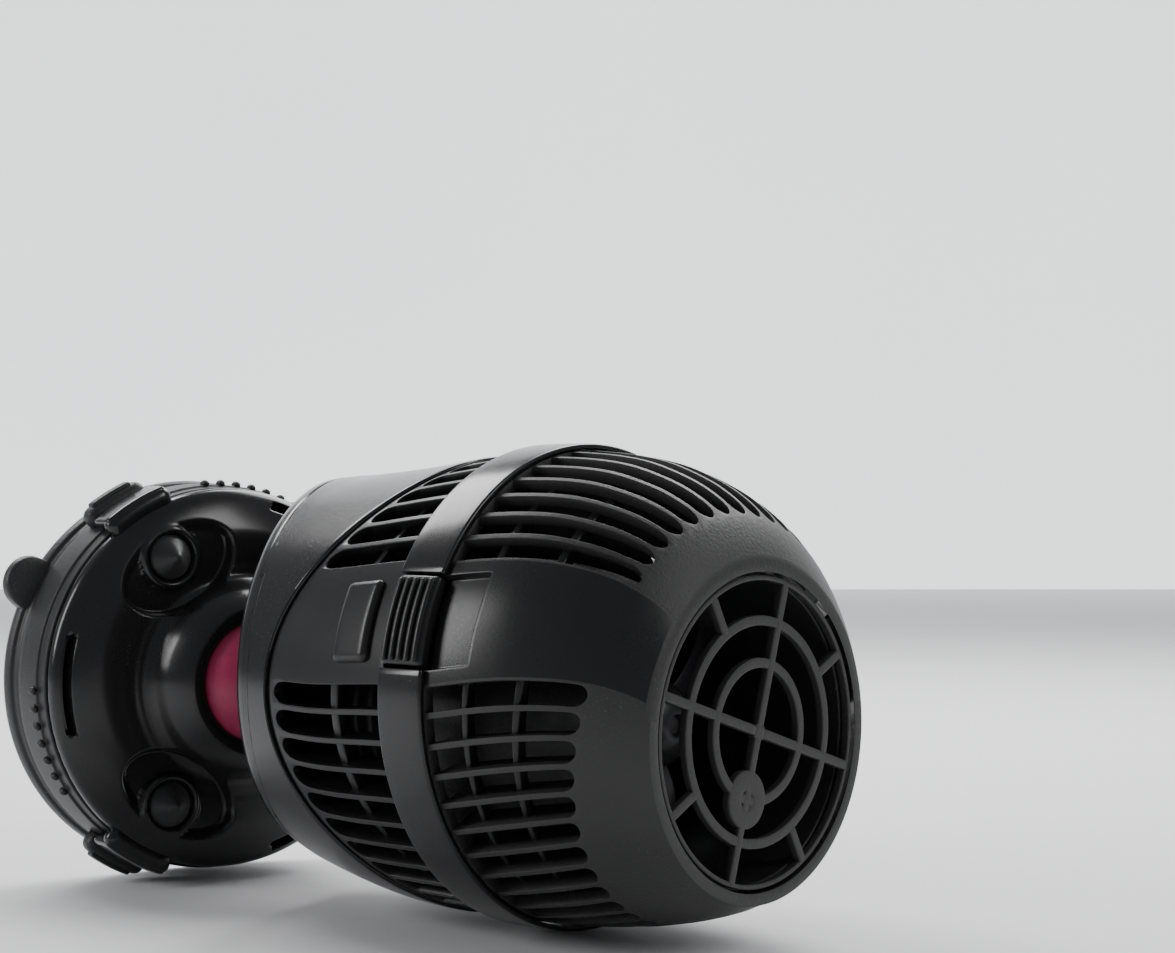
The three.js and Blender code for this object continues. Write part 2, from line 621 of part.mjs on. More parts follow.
// Share of the lower slots' shortening that each row takes.
const backShare = [0, 0, 0.4, 0.75, 1, 0.4, 0];
const frontCage = slottedShell(frontStations.length, (k, a) => frontStations[k]
  - SLOT_BACK * backShare[k] * Math.min(1, Math.max(0, (0.35 - Math.cos(rad(a))) / 1.2)), 1, 4);
const cover = new THREE.Group();
pump.add(cover);
add(cover, "front_cage", cut(frontCage, ...latchWindows()), plastic(0x121213, 0.38));

// Band over the joint of the two halves, in an upper and a lower arc between the latches.
const bandEnd = LATCH_HALF + 0.6;
for (const [name, from, to, steps] of [
  ["band_upper", -LATCH_MID + bandEnd, LATCH_MID - bandEnd, 20],
  ["band_lower", LATCH_MID + bandEnd, 360 - LATCH_MID - bandEnd, 32],
]) {
  const arcBand = formPlate(-BAND_W / 2, BAND_W / 2, from, to, -GAP, CAGE_R - BAND_R, steps);
  add(pump, name, arcBand, plastic(0x141415, 0.33));
}

for (const [side, mid] of latchSides) {
  const pad = formPlate(-LATCH_W / 2, LATCH_W / 2, mid - LATCH_HALF, mid + LATCH_HALF,
    CAGE_WALL - 1, -BAND_T - LATCH_PROUD);
  add(pump, `latch_pad_${side}`, pad, plastic(0x131314, 0.45));
}

// ---------------------------------------------------------------- outlet
function outletGrille() {
  const x0 = CAGE_FRONT - GRILLE_T - GAP;
  const x1 = CAGE_FRONT - GAP;
  const rimR = OUTLET_R - CAGE_WALL - 2 * GAP;
  const half = GRILLE_BAR / 2;
  const hoop = (r) => ring(x0, x1, r - half, r + half, 32);
  const bar = (from, to, turn) =>
    spun(block(GRILLE_T, to - from, GRILLE_BAR, (x0 + x1) / 2, (from + to) / 2, 0), turn);
  const pieces = [hoop(GRILLE_OUTER_RING_R), hoop(GRILLE_INNER_RING_R)];
  for (let i = 0; i < 4; i++) {
    pieces.push(bar(i < 2 ? -rimR + half : 0, rimR - half, GRILLE_TURN + 90 * i));
    pieces.push(bar(GRILLE_OUTER_RING_R, rimR - half, GRILLE_TURN + 45 + 90 * i));
  }
  const bossTurn = rad(GRILLE_TURN - 90);
  const bossAt = [0, GRILLE_INNER_RING_R * Math.cos(bossTurn), GRILLE_INNER_RING_R * Math.sin(bossTurn)];
  const boss = rod(x0, x1, GRILLE_BOSS_R, 16).translate(...bossAt);
  const hole = rod(x0 - 1, x1 + 1, GRILLE_HOLE_R, 10).translate(...bossAt);
  const frame = ring(x0, x1, rimR - half, rimR, 40);
  return cut(join(frame, ...pieces, boss), hole).translate(0, 0, -OUTLET_DROP);
}
add(cover, "outlet_grille", outletGrille(), plastic(0x202021, 0.5));

const ductR = PROP_R + 1.3;
const mouthX = CAGE_FRONT - 2.4;
const mouth = sectionAt(mouthX);
const mouthR = mouth.radius - CAGE_WALL - DUCT_T - (mouth.height + OUTLET_DROP) - 2 * GAP;
const bellX = POD_FRONT - 2; // the bell reaches back over the front of the motor
const ductLine = [
  [bellX, ductR + 6], [PROP_X[0] - 4, ductR + 5.2], [PROP_X[0] + 5, ductR + 3.4],
  [PROP_X[0] + 10, ductR + 1.2], [PROP_X[0] + 16, ductR],
  [CAGE_FRONT - 13, ductR], [mouthX, mouthR],
];
const duct = turned([...ductLine, ...ductLine.map(([x, r]) => [x, r + DUCT_T]).reverse()], 32)
  .translate(0, 0, -OUTLET_DROP);
add(cover, "flow_duct", duct, plastic(0x161617, 0.5));

// ---------------------------------------------------------------- motor
// Everything below turns about, or lies on, the outlet's axis.
const motor = new THREE.Group();
motor.position.z = -OUTLET_DROP;
pump.add(motor);

const wellR = ROTOR_R + 0.7;
const wellRear = POD_REAR + 5;
const coilRoom = wellR + WELL_WALL;
add(motor, "motor_housing", turned([
  [wellRear, 0], [wellRear, wellR], [POD_FRONT, wellR], [POD_FRONT, POD_R], [POD_REAR, POD_R],
  [POD_REAR, POD_R - POD_WALL], [POD_FRONT - 2.5, POD_R - POD_WALL], [POD_FRONT - 2.5, coilRoom],
  [wellRear - 2, coilRoom], [wellRear - 2, 0],
], 32), plastic(0x18181a, 0.45));
add(motor, "motor_cap", ring(POD_REAR - GAP - CAP_T, POD_REAR - GAP, GLAND_BORE_R, POD_R, 32),
  plastic(0x18181a, 0.45));

const statorIn = coilRoom + GAP;
const statorOut = POD_R - POD_WALL - GAP;
const statorRear = POD_REAR + 12;
const statorFront = POD_FRONT - 9;
add(motor, "stator_core", ring(statorRear, statorFront, statorIn, statorOut, 24), metal(0x6d7074, 0.5));
for (const [end, x0, x1] of [
  ["rear", POD_REAR + 4.5, statorRear - GAP], ["front", statorFront + GAP, POD_FRONT - 3],
]) {
  const coil = ring(x0, x1, statorIn, statorOut - 0.6, 24);
  add(motor, `stator_coil_${end}`, coil, metal(0xb06a34, 0.45));
}

const bushX = wellRear + GAP;
const magnetRear = bushX + 2.5;
const magnetFront = magnetRear + ROTOR_LEN;
add(motor, "rear_bush", ring(bushX, magnetRear - GAP, SHAFT_R + GAP, 4.5, 20), plastic(0xd8d6cc, 0.5));
add(motor, "rotor_shaft", rod(bushX, PROP_X[1] - 4, SHAFT_R, 16), plastic(0xe6e2d6, 0.25));

const rotor = new THREE.Group();
motor.add(rotor);
add(rotor, "rotor_magnet", ring(magnetRear, magnetFront, SHAFT_R + GAP, ROTOR_R, 24), metal(0x4a4d52, 0.5));
const frontBushX = PROP_X[1] - 9;
add(rotor, "front_bush", ring(frontBushX, frontBushX + 5, SHAFT_R + GAP, 3.4, 16), plastic(0xd8d6cc, 0.5));

// Propeller: hub with a domed nose and a sleeve to the rotor, and swept twisted blades.
function blade() {
  const sections = 6;
  const rings = Array.from({ length: sections + 1 }, (_, i) => {
    const t = i / sections;
    const radius = PROP_HUB_R - 2 + (PROP_R - PROP_HUB_R + 2) * t;
    const pitch = rad(54 - 24 * t);
    const chord = 13 + 7 * Math.sin(Math.PI * Math.min(1, t * 1.1)) - 2 * t;
    const thick = 2.2 - 1.1 * t;
    const sweep = 0.35 * t * t;
    const outline = [[-0.5, 0], [-0.25, 0.45], [0.1, 0.5], [0.5, 0], [0.1, -0.5], [-0.25, -0.45]];
    return outline.map(([c, h]) => {
      const along = c * chord * Math.sin(pitch) * 0.75 + h * thick * Math.cos(pitch);
      const across = c * chord * Math.cos(pitch) - h * thick * Math.sin(pitch);
      const angle = across / radius + sweep;
      return new THREE.Vector3(16 + along, radius * Math.cos(angle), radius * Math.sin(angle));
    });
  });
  return loft(rings);
}

function propeller() {
  const bore = SHAFT_R + GAP;
  const hub = turned([
    [magnetFront + GAP, bore], [magnetFront + GAP, 5], [PROP_X[0], 5], [PROP_X[0], PROP_HUB_R],
    [PROP_X[1] - 4, PROP_HUB_R], [PROP_X[1] - 1.2, PROP_HUB_R - 2.4], [PROP_X[1], PROP_HUB_R - 5.6],
    [PROP_X[1], 0], [PROP_X[1] - 3.6, 0], [PROP_X[1] - 3.6, 3.4 + GAP],
    [frontBushX - GAP, 3.4 + GAP], [frontBushX - GAP, bore],
  ], 24);
  const blades = Array.from({ length: BLADE_COUNT }, (_, i) => spun(blade(), (360 * i) / BLADE_COUNT + 20));
  const boreTool = rod(magnetFront - 1, frontBushX + 5 + GAP, bore, 12);
  return cut(join(hub, ...blades), boreTool);
}
add(rotor, "propeller", propeller(), plastic(0x1c1c1d, 0.4));

// Spider that holds the motor housing in the rear cage.
function motorBracket() {
  const x0 = POD_FRONT - 18;
  const x1 = POD_FRONT - 14;
  const inner = POD_R + GAP;
  let body = ring(x0, x1, inner, inner + 2.2, 32);
  for (const at of [-50, 50, 180]) {
    const { radius, height } = sectionAt(x0);
    const reach = radius - CAGE_WALL - GAP - 0.6;
    const dropped = height + OUTLET_DROP;
    const out = dropped * Math.cos(rad(at))
      + Math.sqrt(reach ** 2 - (dropped * Math.sin(rad(at))) ** 2);
    const arm = block(x1 - x0, 3, out - inner - 1, (x0 + x1) / 2, 0, (out + inner + 1) / 2);
    body = join(body, spun(arm, at));
  }
  return body;
}
add(motor, "motor_bracket", motorBracket(), plastic(0x18181a, 0.5));

export default part;
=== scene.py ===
# %% [markdown]
# # A wave maker pump on its magnet holder
# A wave maker hangs inside an aquarium. A round holder keeps it on the glass, a soft ball lets it
# aim, and a propeller pulls water in through the slots of its cage and pushes it out of the round
# grille. This lesson dresses the model of the pump, piece by piece, with fine meshes and
# moulded plastic finishes. Lengths are written in millimetres and turned into metres once.

# %% Load the model
import math
import bmesh
import bpy
import numpy as np
from mathutils import Matrix, Vector


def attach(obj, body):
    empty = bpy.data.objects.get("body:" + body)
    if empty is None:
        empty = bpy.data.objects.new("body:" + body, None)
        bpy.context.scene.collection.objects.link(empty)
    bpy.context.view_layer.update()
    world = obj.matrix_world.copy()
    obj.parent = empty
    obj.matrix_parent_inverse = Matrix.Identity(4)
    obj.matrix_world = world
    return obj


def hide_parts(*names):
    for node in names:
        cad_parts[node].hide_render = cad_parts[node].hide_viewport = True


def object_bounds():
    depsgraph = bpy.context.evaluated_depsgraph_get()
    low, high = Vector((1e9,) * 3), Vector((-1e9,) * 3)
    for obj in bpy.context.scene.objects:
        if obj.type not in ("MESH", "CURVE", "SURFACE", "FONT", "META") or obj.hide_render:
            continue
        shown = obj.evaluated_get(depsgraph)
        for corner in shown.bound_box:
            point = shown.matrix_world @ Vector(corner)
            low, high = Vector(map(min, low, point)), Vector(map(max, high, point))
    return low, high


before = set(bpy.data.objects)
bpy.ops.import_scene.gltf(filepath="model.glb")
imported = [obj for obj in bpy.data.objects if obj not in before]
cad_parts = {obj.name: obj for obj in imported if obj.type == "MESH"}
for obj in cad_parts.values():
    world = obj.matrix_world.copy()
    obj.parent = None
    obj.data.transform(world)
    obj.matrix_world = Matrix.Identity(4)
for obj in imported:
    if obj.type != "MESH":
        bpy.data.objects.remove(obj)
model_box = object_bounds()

MM = 0.001
GAP = 0.3
PUMP_YAW = 12.6

# %% [markdown]
# ## Camera, floor and light
# Black plastic shows only what it mirrors, so a panel's place matters more than its strength. Two
# strong panels stand above and behind, where the hood, the band and the cage's shoulder mirror
# them as long soft streaks, and two weak ones light the sides. The room is dim, which keeps the
# undersides deep black. The camera is level with the pump, on the outlet's side, with a long lens.

# %% Camera
CAMERA_AT, CAMERA_LOOKS = (0.4877, -0.2401, 0.0373), (-0.8125, 0.5829, 0.0108)
LENS, SENSOR = 74.3, 36


def add(name, data):
    """An object made from its data and linked to the scene."""
    thing = bpy.data.objects.new(name, data)
    bpy.context.scene.collection.objects.link(thing)
    return thing


def add_camera():
    forward = Vector(CAMERA_LOOKS).normalized()
    right = forward.cross(Vector((0, 0, 1))).normalized()
    data = bpy.data.cameras.new("camera")
    data.lens, data.sensor_width = LENS, SENSOR
    camera = add("camera", data)
    turn = Matrix((right, right.cross(forward), -forward)).transposed().to_4x4()
    camera.matrix_world = Matrix.Translation(CAMERA_AT) @ turn
    bpy.context.scene.camera = camera
    return camera


camera = add_camera()
print("camera at", [round(v, 3) for v in camera.location], "lens", camera.data.lens)

# %% Soft panels and room light
HEART = (0.08, 0.01, 0)
PANELS = {
    "panel_behind_left": ((-0.50, -0.02, 0.66), (0.42, 0.30), 4.5),
    "panel_behind": ((-0.16, 0.52, 0.62), (0.60, 0.40), 8.0),
    "panel_left": ((-0.35, -0.85, 0.40), (0.22, 0.5), 4.0),
    "panel_right": ((0.75, 0.35, 0.50), (0.22, 0.4), 2.0)}
ROOM_COLOR, ROOM_STRENGTH = (0.93, 0.95, 1.0, 1), 0.28

for name, (at, size, power) in PANELS.items():
    data = bpy.data.lights.new(name, "AREA")
    data.shape, data.size, data.size_y = "RECTANGLE", *size
    data.energy = power
    light = add(name, data)
    light.location = at
    light.rotation_euler = (Vector(HEART) - Vector(at)).to_track_quat("-Z", "Y").to_euler()
world = bpy.data.worlds.new("room")
bpy.context.scene.world = world
world.use_nodes = True
room = world.node_tree.nodes["Background"].inputs
room["Color"].default_value, room["Strength"].default_value = ROOM_COLOR, ROOM_STRENGTH
print(len(PANELS), "panels")

# %% [markdown]
# ## Writing a finish as a sum
# A finish is arithmetic on patterns. The little class below wraps the output of a node, so that
# `1 - dust * 0.3` makes the Math nodes by itself. Its `node` method makes any other node. The same
# class works in a geometry tree, where the sums place points instead of colours.

# %% A wrapped socket
def feed(socket, value):
    """Links a wire into a socket, or writes a plain value on it."""
    if isinstance(value, Wire):
        value.tree.links.new(value.socket, socket)
    else:
        socket.default_value = value


class Wire:
    def __init__(self, tree, socket):
        self.tree, self.socket = tree, socket

    def node(self, kind, sockets=None, out=0, **settings):
        made = self.tree.nodes.new(kind)
        for key, value in settings.items():
            setattr(made, key, value)
        for key, value in (sockets or {}).items():
            feed(made.inputs[key], value)
        return Wire(self.tree, made.outputs[out])

    def sum(self, operation, first, second=0.0):
        return self.node("ShaderNodeMath", {0: first, 1: second}, operation=operation)

    def __add__(self, other): return self.sum("ADD", self, other)
    def __radd__(self, other): return self.sum("ADD", other, self)
    def __sub__(self, other): return self.sum("SUBTRACT", self, other)
    def __rsub__(self, other): return self.sum("SUBTRACT", other, self)
    def __mul__(self, other): return self.sum("MULTIPLY", self, other)
    def __truediv__(self, other): return self.sum("DIVIDE", self, other)
    def at_least(self, other): return self.sum("MAXIMUM", self, other)
    def at_most(self, other): return self.sum("MINIMUM", self, other)
    def cos(self): return self.sum("COSINE", self)
    def sin(self): return self.sum("SINE", self)

    def step(self, low, high):
        return self.node("ShaderNodeMapRange", {"Value": self, "From Min": low, "From Max": high},
                         interpolation_type="SMOOTHSTEP")

    def noise(self, scale, detail=2.0, rough=0.5):
        return self.node("ShaderNodeTexNoise", {"Vector": self, "Scale": scale,
                                                "Detail": detail, "Roughness": rough})

    def mix(self, first, second):
        return self.node("ShaderNodeMix", {0: self, 6: first, 7: second}, out=2, data_type="RGBA")

    def bump(self, distance, strength):
        return self.node("ShaderNodeBump", {"Height": self, "Distance": distance, "Strength": strength})

    def vector(self, **axes):
        return self.node("ShaderNodeCombineXYZ", axes)


print("wire ready")

# %% A blank finish
def new_finish(name):
    material = bpy.data.materials.new(name)
    material.use_nodes = True
    tree = material.node_tree
    here = Wire(tree, tree.nodes.new("ShaderNodeTexCoord").outputs["Object"])
    return material, tree.nodes["Principled BSDF"], here


def plug(shader, **sockets):
    for name, value in sockets.items():
        feed(shader.inputs[name.replace("_", " ")], value)


def shade(color, k):
    return (*[min(1.0, c * k) for c in color], 1)


print("blank finish ready")

# %% [markdown]
# ## Moulded plastic
# Injection moulded parts copy their steel tool. A polished tool leaves a shine with a faint
# orange-peel swell, an eroded tool leaves a fine even grain. Both carry a little dust, and fingers
# leave slightly rougher smears. So each finish has three scales: smears of about 25 mm, swell or
# grain below a millimetre, and dust specks.

# %% Plastics and rubbers
SMEARS, SPECKS, SPECK_PATCHES = 38, 2600, 55
DUST, PLASTIC_SHINE = (0.34, 0.34, 0.33, 1), 0.36


def moulded(name, color, rough, smear=0.1, grain=(1500, 0.12), swell=(160, 0.05), dust=0.1,
            coat=0.0, sheen=0.0):
    material, shader, here = new_finish(name)
    cloud = here.noise(SMEARS, 3)
    fine = here.noise(grain[0], 2, 0.6)
    wave = here.noise(swell[0], 1)
    speck = here.noise(SPECKS, 1).step(0.69, 0.76) * here.noise(SPECK_PATCHES, 2).step(0.42, 0.66)
    body = cloud.mix(shade(color, 0.82), shade(color, 1.22))
    tint = (speck * dust).mix(body, DUST)
    bump = (fine * grain[1] + wave * swell[1]).bump(0.0004, 0.5)
    uneven = rough + (cloud - 0.5) * smear + (fine - 0.5) * 0.08 + speck * 0.2
    plug(shader, Base_Color=tint, Roughness=uneven, Normal=bump, Coat_Weight=coat,
         Coat_Roughness=0.12, Sheen_Weight=sheen, Specular_IOR_Level=PLASTIC_SHINE)
    return material


DARK = (0.0105, 0.0105, 0.0112)
black_gloss = moulded("black_gloss", DARK, 0.22, swell=(90, 0.08), grain=(1200, 0.02), dust=0.04, coat=0.12)
black_satin = moulded("black_satin", DARK, 0.3, grain=(1700, 0.04), dust=0.03)
housing_matte = moulded("housing_matte", (0.014, 0.014, 0.015), 0.46, grain=(1300, 0.35), dust=0.2)
grille_matte = moulded("grille_matte", (0.030, 0.030, 0.029), 0.5, grain=(1500, 0.4), dust=0.2)
propeller_plastic = moulded("propeller_plastic", (0.025, 0.025, 0.027), 0.32, grain=(1100, 0.08))
latch_satin = moulded("latch_satin", DARK, 0.33, grain=(1600, 0.2))
rubber_black = moulded("rubber_black", (0.017, 0.017, 0.018), 0.42, grain=(900, 0.5), dust=0.3, sheen=0.1)
ball_magenta = moulded("ball_magenta", (0.30, 0.014, 0.07), 0.36, grain=(1100, 0.25), dust=0.14, sheen=0.15)
seat_white = moulded("seat_white", (0.6, 0.6, 0.57), 0.45)
ceramic_white = moulded("ceramic_white", (0.78, 0.76, 0.69), 0.22, swell=(60, 0.02))
print("materials so far:", len(bpy.data.materials))

# %% [markdown]
# ## Metal inside the pump
# Nothing metal touches the water: the magnets, the laminated stator and its copper coils are all
# sealed in. They still get their own look: grinding lines that run round the axis on steel, and
# close turns of lacquered wire on the coils.

# %% Steel, magnet and copper
def ground_metal(name, color, rough, lines, stretch):
    material, shader, here = new_finish(name)
    drawn = here.node("ShaderNodeMapping", {"Vector": here, "Scale": stretch})
    streak = drawn.noise(lines, 3, 0.7)
    tint = here.noise(90, 3).mix(shade(color, 0.78), shade(color, 1.08))
    plug(shader, Base_Color=tint, Metallic=1.0, Roughness=rough + (streak - 0.5) * 0.25,
         Normal=streak.bump(0.0002, 0.3))
    return material


def wound_copper(name):
    material, shader, here = new_finish(name)
    on_axis = here.node("ShaderNodeMapping", {"Vector": here, "Rotation": (0, 0, -math.radians(PUMP_YAW))})
    turns = on_axis.node("ShaderNodeTexWave", {"Vector": on_axis, "Scale": 620.0, "Distortion": 0.6,
                                               "Detail": 1.0}, bands_direction="X")
    plug(shader, Base_Color=turns.mix((0.16, 0.05, 0.018, 1), (0.62, 0.27, 0.11, 1)), Metallic=1.0,
         Roughness=0.28 + here.noise(400, 2) * 0.2, Normal=turns.bump(0.0003, 0.8))
    return material


steel_plain = ground_metal("steel_plain", (0.56, 0.56, 0.57), 0.34, 900, (1, 0.06, 0.06))
magnet_nickel = ground_metal("magnet_nickel", (0.24, 0.24, 0.25), 0.42, 500, (0.3, 1, 1))
copper_coil = wound_copper("copper_coil")
print("materials so far:", len(bpy.data.materials))

# %% [markdown]
# ## Floor and wall
# The pump lies on a plain pale table in front of a pale wall. A very slight grain keeps both from
# looking like paper cut out of nothing, and a soft shadow shows where holder and cage touch the
# table. The wall glows by itself, so it stays light in the dim room.

# %% Floor and wall
TABLE_Z = model_box[0][2] - 0.0002
WALL_MIDDLE, WALL_ACROSS, WALL_TOP = Vector((-1.35, 1.06, 0)), Vector((0.583, 0.8125, 0)) * 2.2, 1.15


def flat_sheet(name, corners, material):
    mesh = bpy.data.meshes.new(name)
    mesh.from_pydata(corners, [], [(0, 1, 2, 3)])
    mesh.materials.append(material)
    return add(name, mesh)


def add_floor(reach=6.0):
    material, shader, here = new_finish("floor_pale")
    plug(shader, Base_Color=here.noise(240, 3).mix((0.80, 0.80, 0.81, 1), (0.84, 0.84, 0.85, 1)),
         Roughness=0.7)
    corners = [(x * reach, y * reach, TABLE_Z) for x, y in ((-1, -1), (1, -1), (1, 1), (-1, 1))]
    floor = flat_sheet("floor", corners, material)
    return floor


def add_backdrop():
    """A pale glowing wall far behind the pump, seen past it by the camera."""
    material, shader, here = new_finish("backdrop_pale")
    tone = here.noise(3, 2).mix((0.86, 0.87, 0.89, 1), (0.92, 0.93, 0.94, 1))
    plug(shader, Base_Color=tone, Roughness=0.8, Emission_Color=tone, Emission_Strength=1.5)
    ends = [WALL_MIDDLE - WALL_ACROSS, WALL_MIDDLE + WALL_ACROSS]
    corners = [(c.x, c.y, TABLE_Z) for c in ends] + [(c.x, c.y, WALL_TOP) for c in reversed(ends)]
    wall = flat_sheet("backdrop", corners, material)


add_backdrop()
print("floor at z", round(add_floor().data.vertices[0].co.z, 4))

# %% [markdown]
# ## Mesh helpers
# Most of the holder is turned, so its pieces start as an outline of station along X and radius.
# `rounded` puts a small fillet on each corner that asks for one, as a toolmaker does, because a
# real edge always catches a thin line of light.

# %% Outlines, skins and objects
def bow(start, corner, end, t):
    """A point on the curve from `start` to `end` that is drawn towards `corner`."""
    return start * (1 - t) ** 2 + corner * 2 * t * (1 - t) + end * t ** 2


def rounded(outline, steps=4):
    result = []
    for i, entry in enumerate(outline):
        here = np.array(entry[:2], float)
        fillet = entry[2] if len(entry) > 2 else 0
        if fillet == 0 or i in (0, len(outline) - 1):
            result.append(here)
            continue
        before, after = np.array(outline[i - 1][:2], float), np.array(outline[i + 1][:2], float)
        a, b = before - here, after - here
        fa = min(fillet, 0.49 * np.linalg.norm(a)) / np.linalg.norm(a)
        fb = min(fillet, 0.49 * np.linalg.norm(b)) / np.linalg.norm(b)
        result += [bow(here + a * fa, here, here + b * fb, t) for t in np.linspace(0, 1, steps + 1)]
    return np.array(result)


def skin(rings, closed=False, caps=True):
    """Rings of points joined into one skin: (points, faces)."""
    rings = np.asarray(rings, float)
    count, around = rings.shape[:2]
    points = rings.reshape(-1, 3)
    rows = count if closed else count - 1
    k, j = np.meshgrid(np.arange(rows), np.arange(around), indexing="ij")
    n, m = (k + 1) % count, (j + 1) % around
    corners = [k * around + j, k * around + m, n * around + m, n * around + j]
    faces = np.stack(corners, -1).reshape(-1, 4).tolist()
    if not closed and caps:
        for row, flip in ((0, True), (count - 1, False)):
            points = np.vstack([points, rings[row].mean(0)])
            hub = len(points) - 1
            for a in range(around):
                pair = (row * around + a, row * around + (a + 1) % around)
                faces.append([hub, *(pair[::-1] if flip else pair)])
    return points, faces


def full_turn(count):
    return np.linspace(0, 2 * np.pi, count, endpoint=False)


def ring_at(x, r, angle):
    """Points round X at stations x and radii r."""
    return np.stack([x + 0 * angle, r * np.cos(angle), r * np.sin(angle)], -1)


def off_from(angle, at):
    """How far an angle is turned from a direction in degrees, at most half a turn either way."""
    return (angle - math.radians(at) + np.pi) % (2 * np.pi) - np.pi


def turned(outline, segments=144, closed=False):
    outline = [p for p in np.asarray(outline, float) if p[1] > 1e-6 or closed]
    return skin([ring_at(x, r, full_turn(segments)) for x, r in outline], closed)


def merged(*bodies):
    points, faces, offset = [], [], 0
    for p, f in bodies:
        points.append(np.asarray(p, float))
        faces += [[i + offset for i in face] for face in f]
        offset += len(p)
    return np.vstack(points), faces


def placed(body, move=(0, 0, 0), yaw=0.0, roll=0.0):
    """A body rolled about X, then turned about Z, then moved."""
    p = np.asarray(body[0], float)
    c, s = math.cos(math.radians(roll)), math.sin(math.radians(roll))
    p = p @ np.array([[1, 0, 0], [0, c, s], [0, -s, c]])
    c, s = math.cos(math.radians(yaw)), math.sin(math.radians(yaw))
    p = p @ np.array([[c, s, 0], [-s, c, 0], [0, 0, 1]])
    return p + np.array(move), body[1]


def build(name, body, *materials, sharp=38, weld=True):
    mesh = bpy.data.meshes.new(name)
    mesh.from_pydata((np.asarray(body[0]) * MM).tolist(), [], body[1])
    for material in materials:
        mesh.materials.append(material)
    return smooth(add(name, mesh), sharp, weld)


def smooth(piece, sharp=38, weld=True):
    work = bmesh.new()
    work.from_mesh(piece.data)
    if weld:
        bmesh.ops.remove_doubles(work, verts=work.verts, dist=2e-6)
        bmesh.ops.recalc_face_normals(work, faces=work.faces)
    work.to_mesh(piece.data)
    work.free()
    piece.data.polygons.foreach_set("use_smooth", [True] * len(piece.data.polygons))
    piece.data.set_sharp_from_angle(angle=math.radians(sharp))
    return piece


def settled(piece):
    """The evaluated piece as a plain mesh, with its modifiers gone."""
    graph = bpy.context.evaluated_depsgraph_get()
    mesh = bpy.data.meshes.new_from_object(piece.evaluated_get(graph), depsgraph=graph)
    piece.modifiers.clear()
    piece.data = mesh
    return piece


def eased(piece, width, segments, angle):
    """Small fillets on every sharp edge."""
    bevel = piece.modifiers.new("fillet", "BEVEL")
    bevel.width, bevel.segments, bevel.limit_method = width * MM, segments, "ANGLE"
    bevel.angle_limit, bevel.harden_normals = math.radians(angle), False
    return smooth(settled(piece), 50, weld=False)


def keep(piece, body, slot, *nodes):
    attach(piece, body)
    if nodes:
        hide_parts(*nodes)
    print(f"{piece.name}: {len(piece.data.polygons)} faces on {body}")
    return piece


print("helpers ready")

# %% A soft-edged block, bent round X where it lies on a curved wall
def soft_block(size, fillet, cuts=(10, 14, 6)):
    """A block centred on the origin, with every edge rounded."""
    half, bodies = np.array(size) / 2, []
    inner = half - fillet
    for axis in range(3):
        u, v = [i for i in range(3) if i != axis]
        for side in (-1, 1):
            gu = np.sin(np.linspace(-np.pi / 2, np.pi / 2, cuts[u] + 1))
            gv = np.sin(np.linspace(-np.pi / 2, np.pi / 2, cuts[v] + 1))
            p = np.zeros((len(gu), len(gv), 3))
            p[..., u], p[..., v], p[..., axis] = gu[:, None], gv[None, :], side
            p = p.reshape(-1, 3) * half
            core = np.clip(p, -inner, inner)
            away = p - core
            length = np.linalg.norm(away, axis=1, keepdims=True)
            p = core + fillet * away / np.maximum(length, 1e-9)
            w = len(gv)
            quads = [[a * w + b, a * w + b + 1, (a + 1) * w + b + 1, (a + 1) * w + b]
                     for a in range(len(gu) - 1) for b in range(w - 1)]
            bodies.append((p, quads))
    return merged(*bodies)


def bent(body, radius, at):
    """Y becomes a way round X, Z a height over `radius`; `at` is in degrees from +Y to +Z."""
    p = np.array(body[0], float)
    return ring_at(p[:, 0], radius + p[:, 2], math.radians(at) + p[:, 1] / radius), body[1]


print("soft block ready")

# %% [markdown]
# ## Growing repeats with Geometry Nodes
# Slats, ribs, bumps, spokes and blades repeat. A geometry tree states the rule once: how many, how
# far apart, and on what surface. `tree_with` makes a tree with named sizes, and `grown` runs it
# and keeps the result as a plain mesh.

# %% Tree helpers
def tree_with(name, sizes):
    tree = bpy.data.node_groups.new(name, "GeometryNodeTree")
    face = tree.interface
    face.new_socket("Geometry", in_out="INPUT", socket_type="NodeSocketGeometry")
    for label, (kind, value) in sizes.items():
        socket = face.new_socket(label, in_out="INPUT", socket_type=kind)
        if value is not None:
            socket.default_value = value
    face.new_socket("Finish", in_out="INPUT", socket_type="NodeSocketMaterial")
    face.new_socket("Geometry", in_out="OUTPUT", socket_type="NodeSocketGeometry")
    given = tree.nodes.new("NodeGroupInput")
    wires = {socket.name: Wire(tree, socket) for socket in given.outputs if socket.name}
    return tree, wires


def end_tree(tree, geometry, finish):
    real = geometry.node("GeometryNodeRealizeInstances", {0: geometry})
    painted = real.node("GeometryNodeSetMaterial", {"Geometry": real, "Material": finish})
    result = tree.nodes.new("NodeGroupOutput")
    tree.links.new(painted.socket, result.inputs[0])


def grown(name, tree, finish, values, start=None):
    mesh = bpy.data.meshes.new(name)
    if start is not None:
        mesh.from_pydata(np.asarray(start[0]).tolist(), [], start[1])
    piece = add(name, mesh)
    run = piece.modifiers.new("tree", "NODES")
    run.node_group = tree
    for item in tree.interface.items_tree:
        if item.item_type == "SOCKET" and item.in_out == "INPUT":
            if item.name == "Finish":
                run[item.identifier] = finish
            elif item.name in values:
                run[item.identifier] = values[item.name]
    return settled(piece)


NUMBER, WHOLE = "NodeSocketFloat", "NodeSocketInt"
print("trees ready")

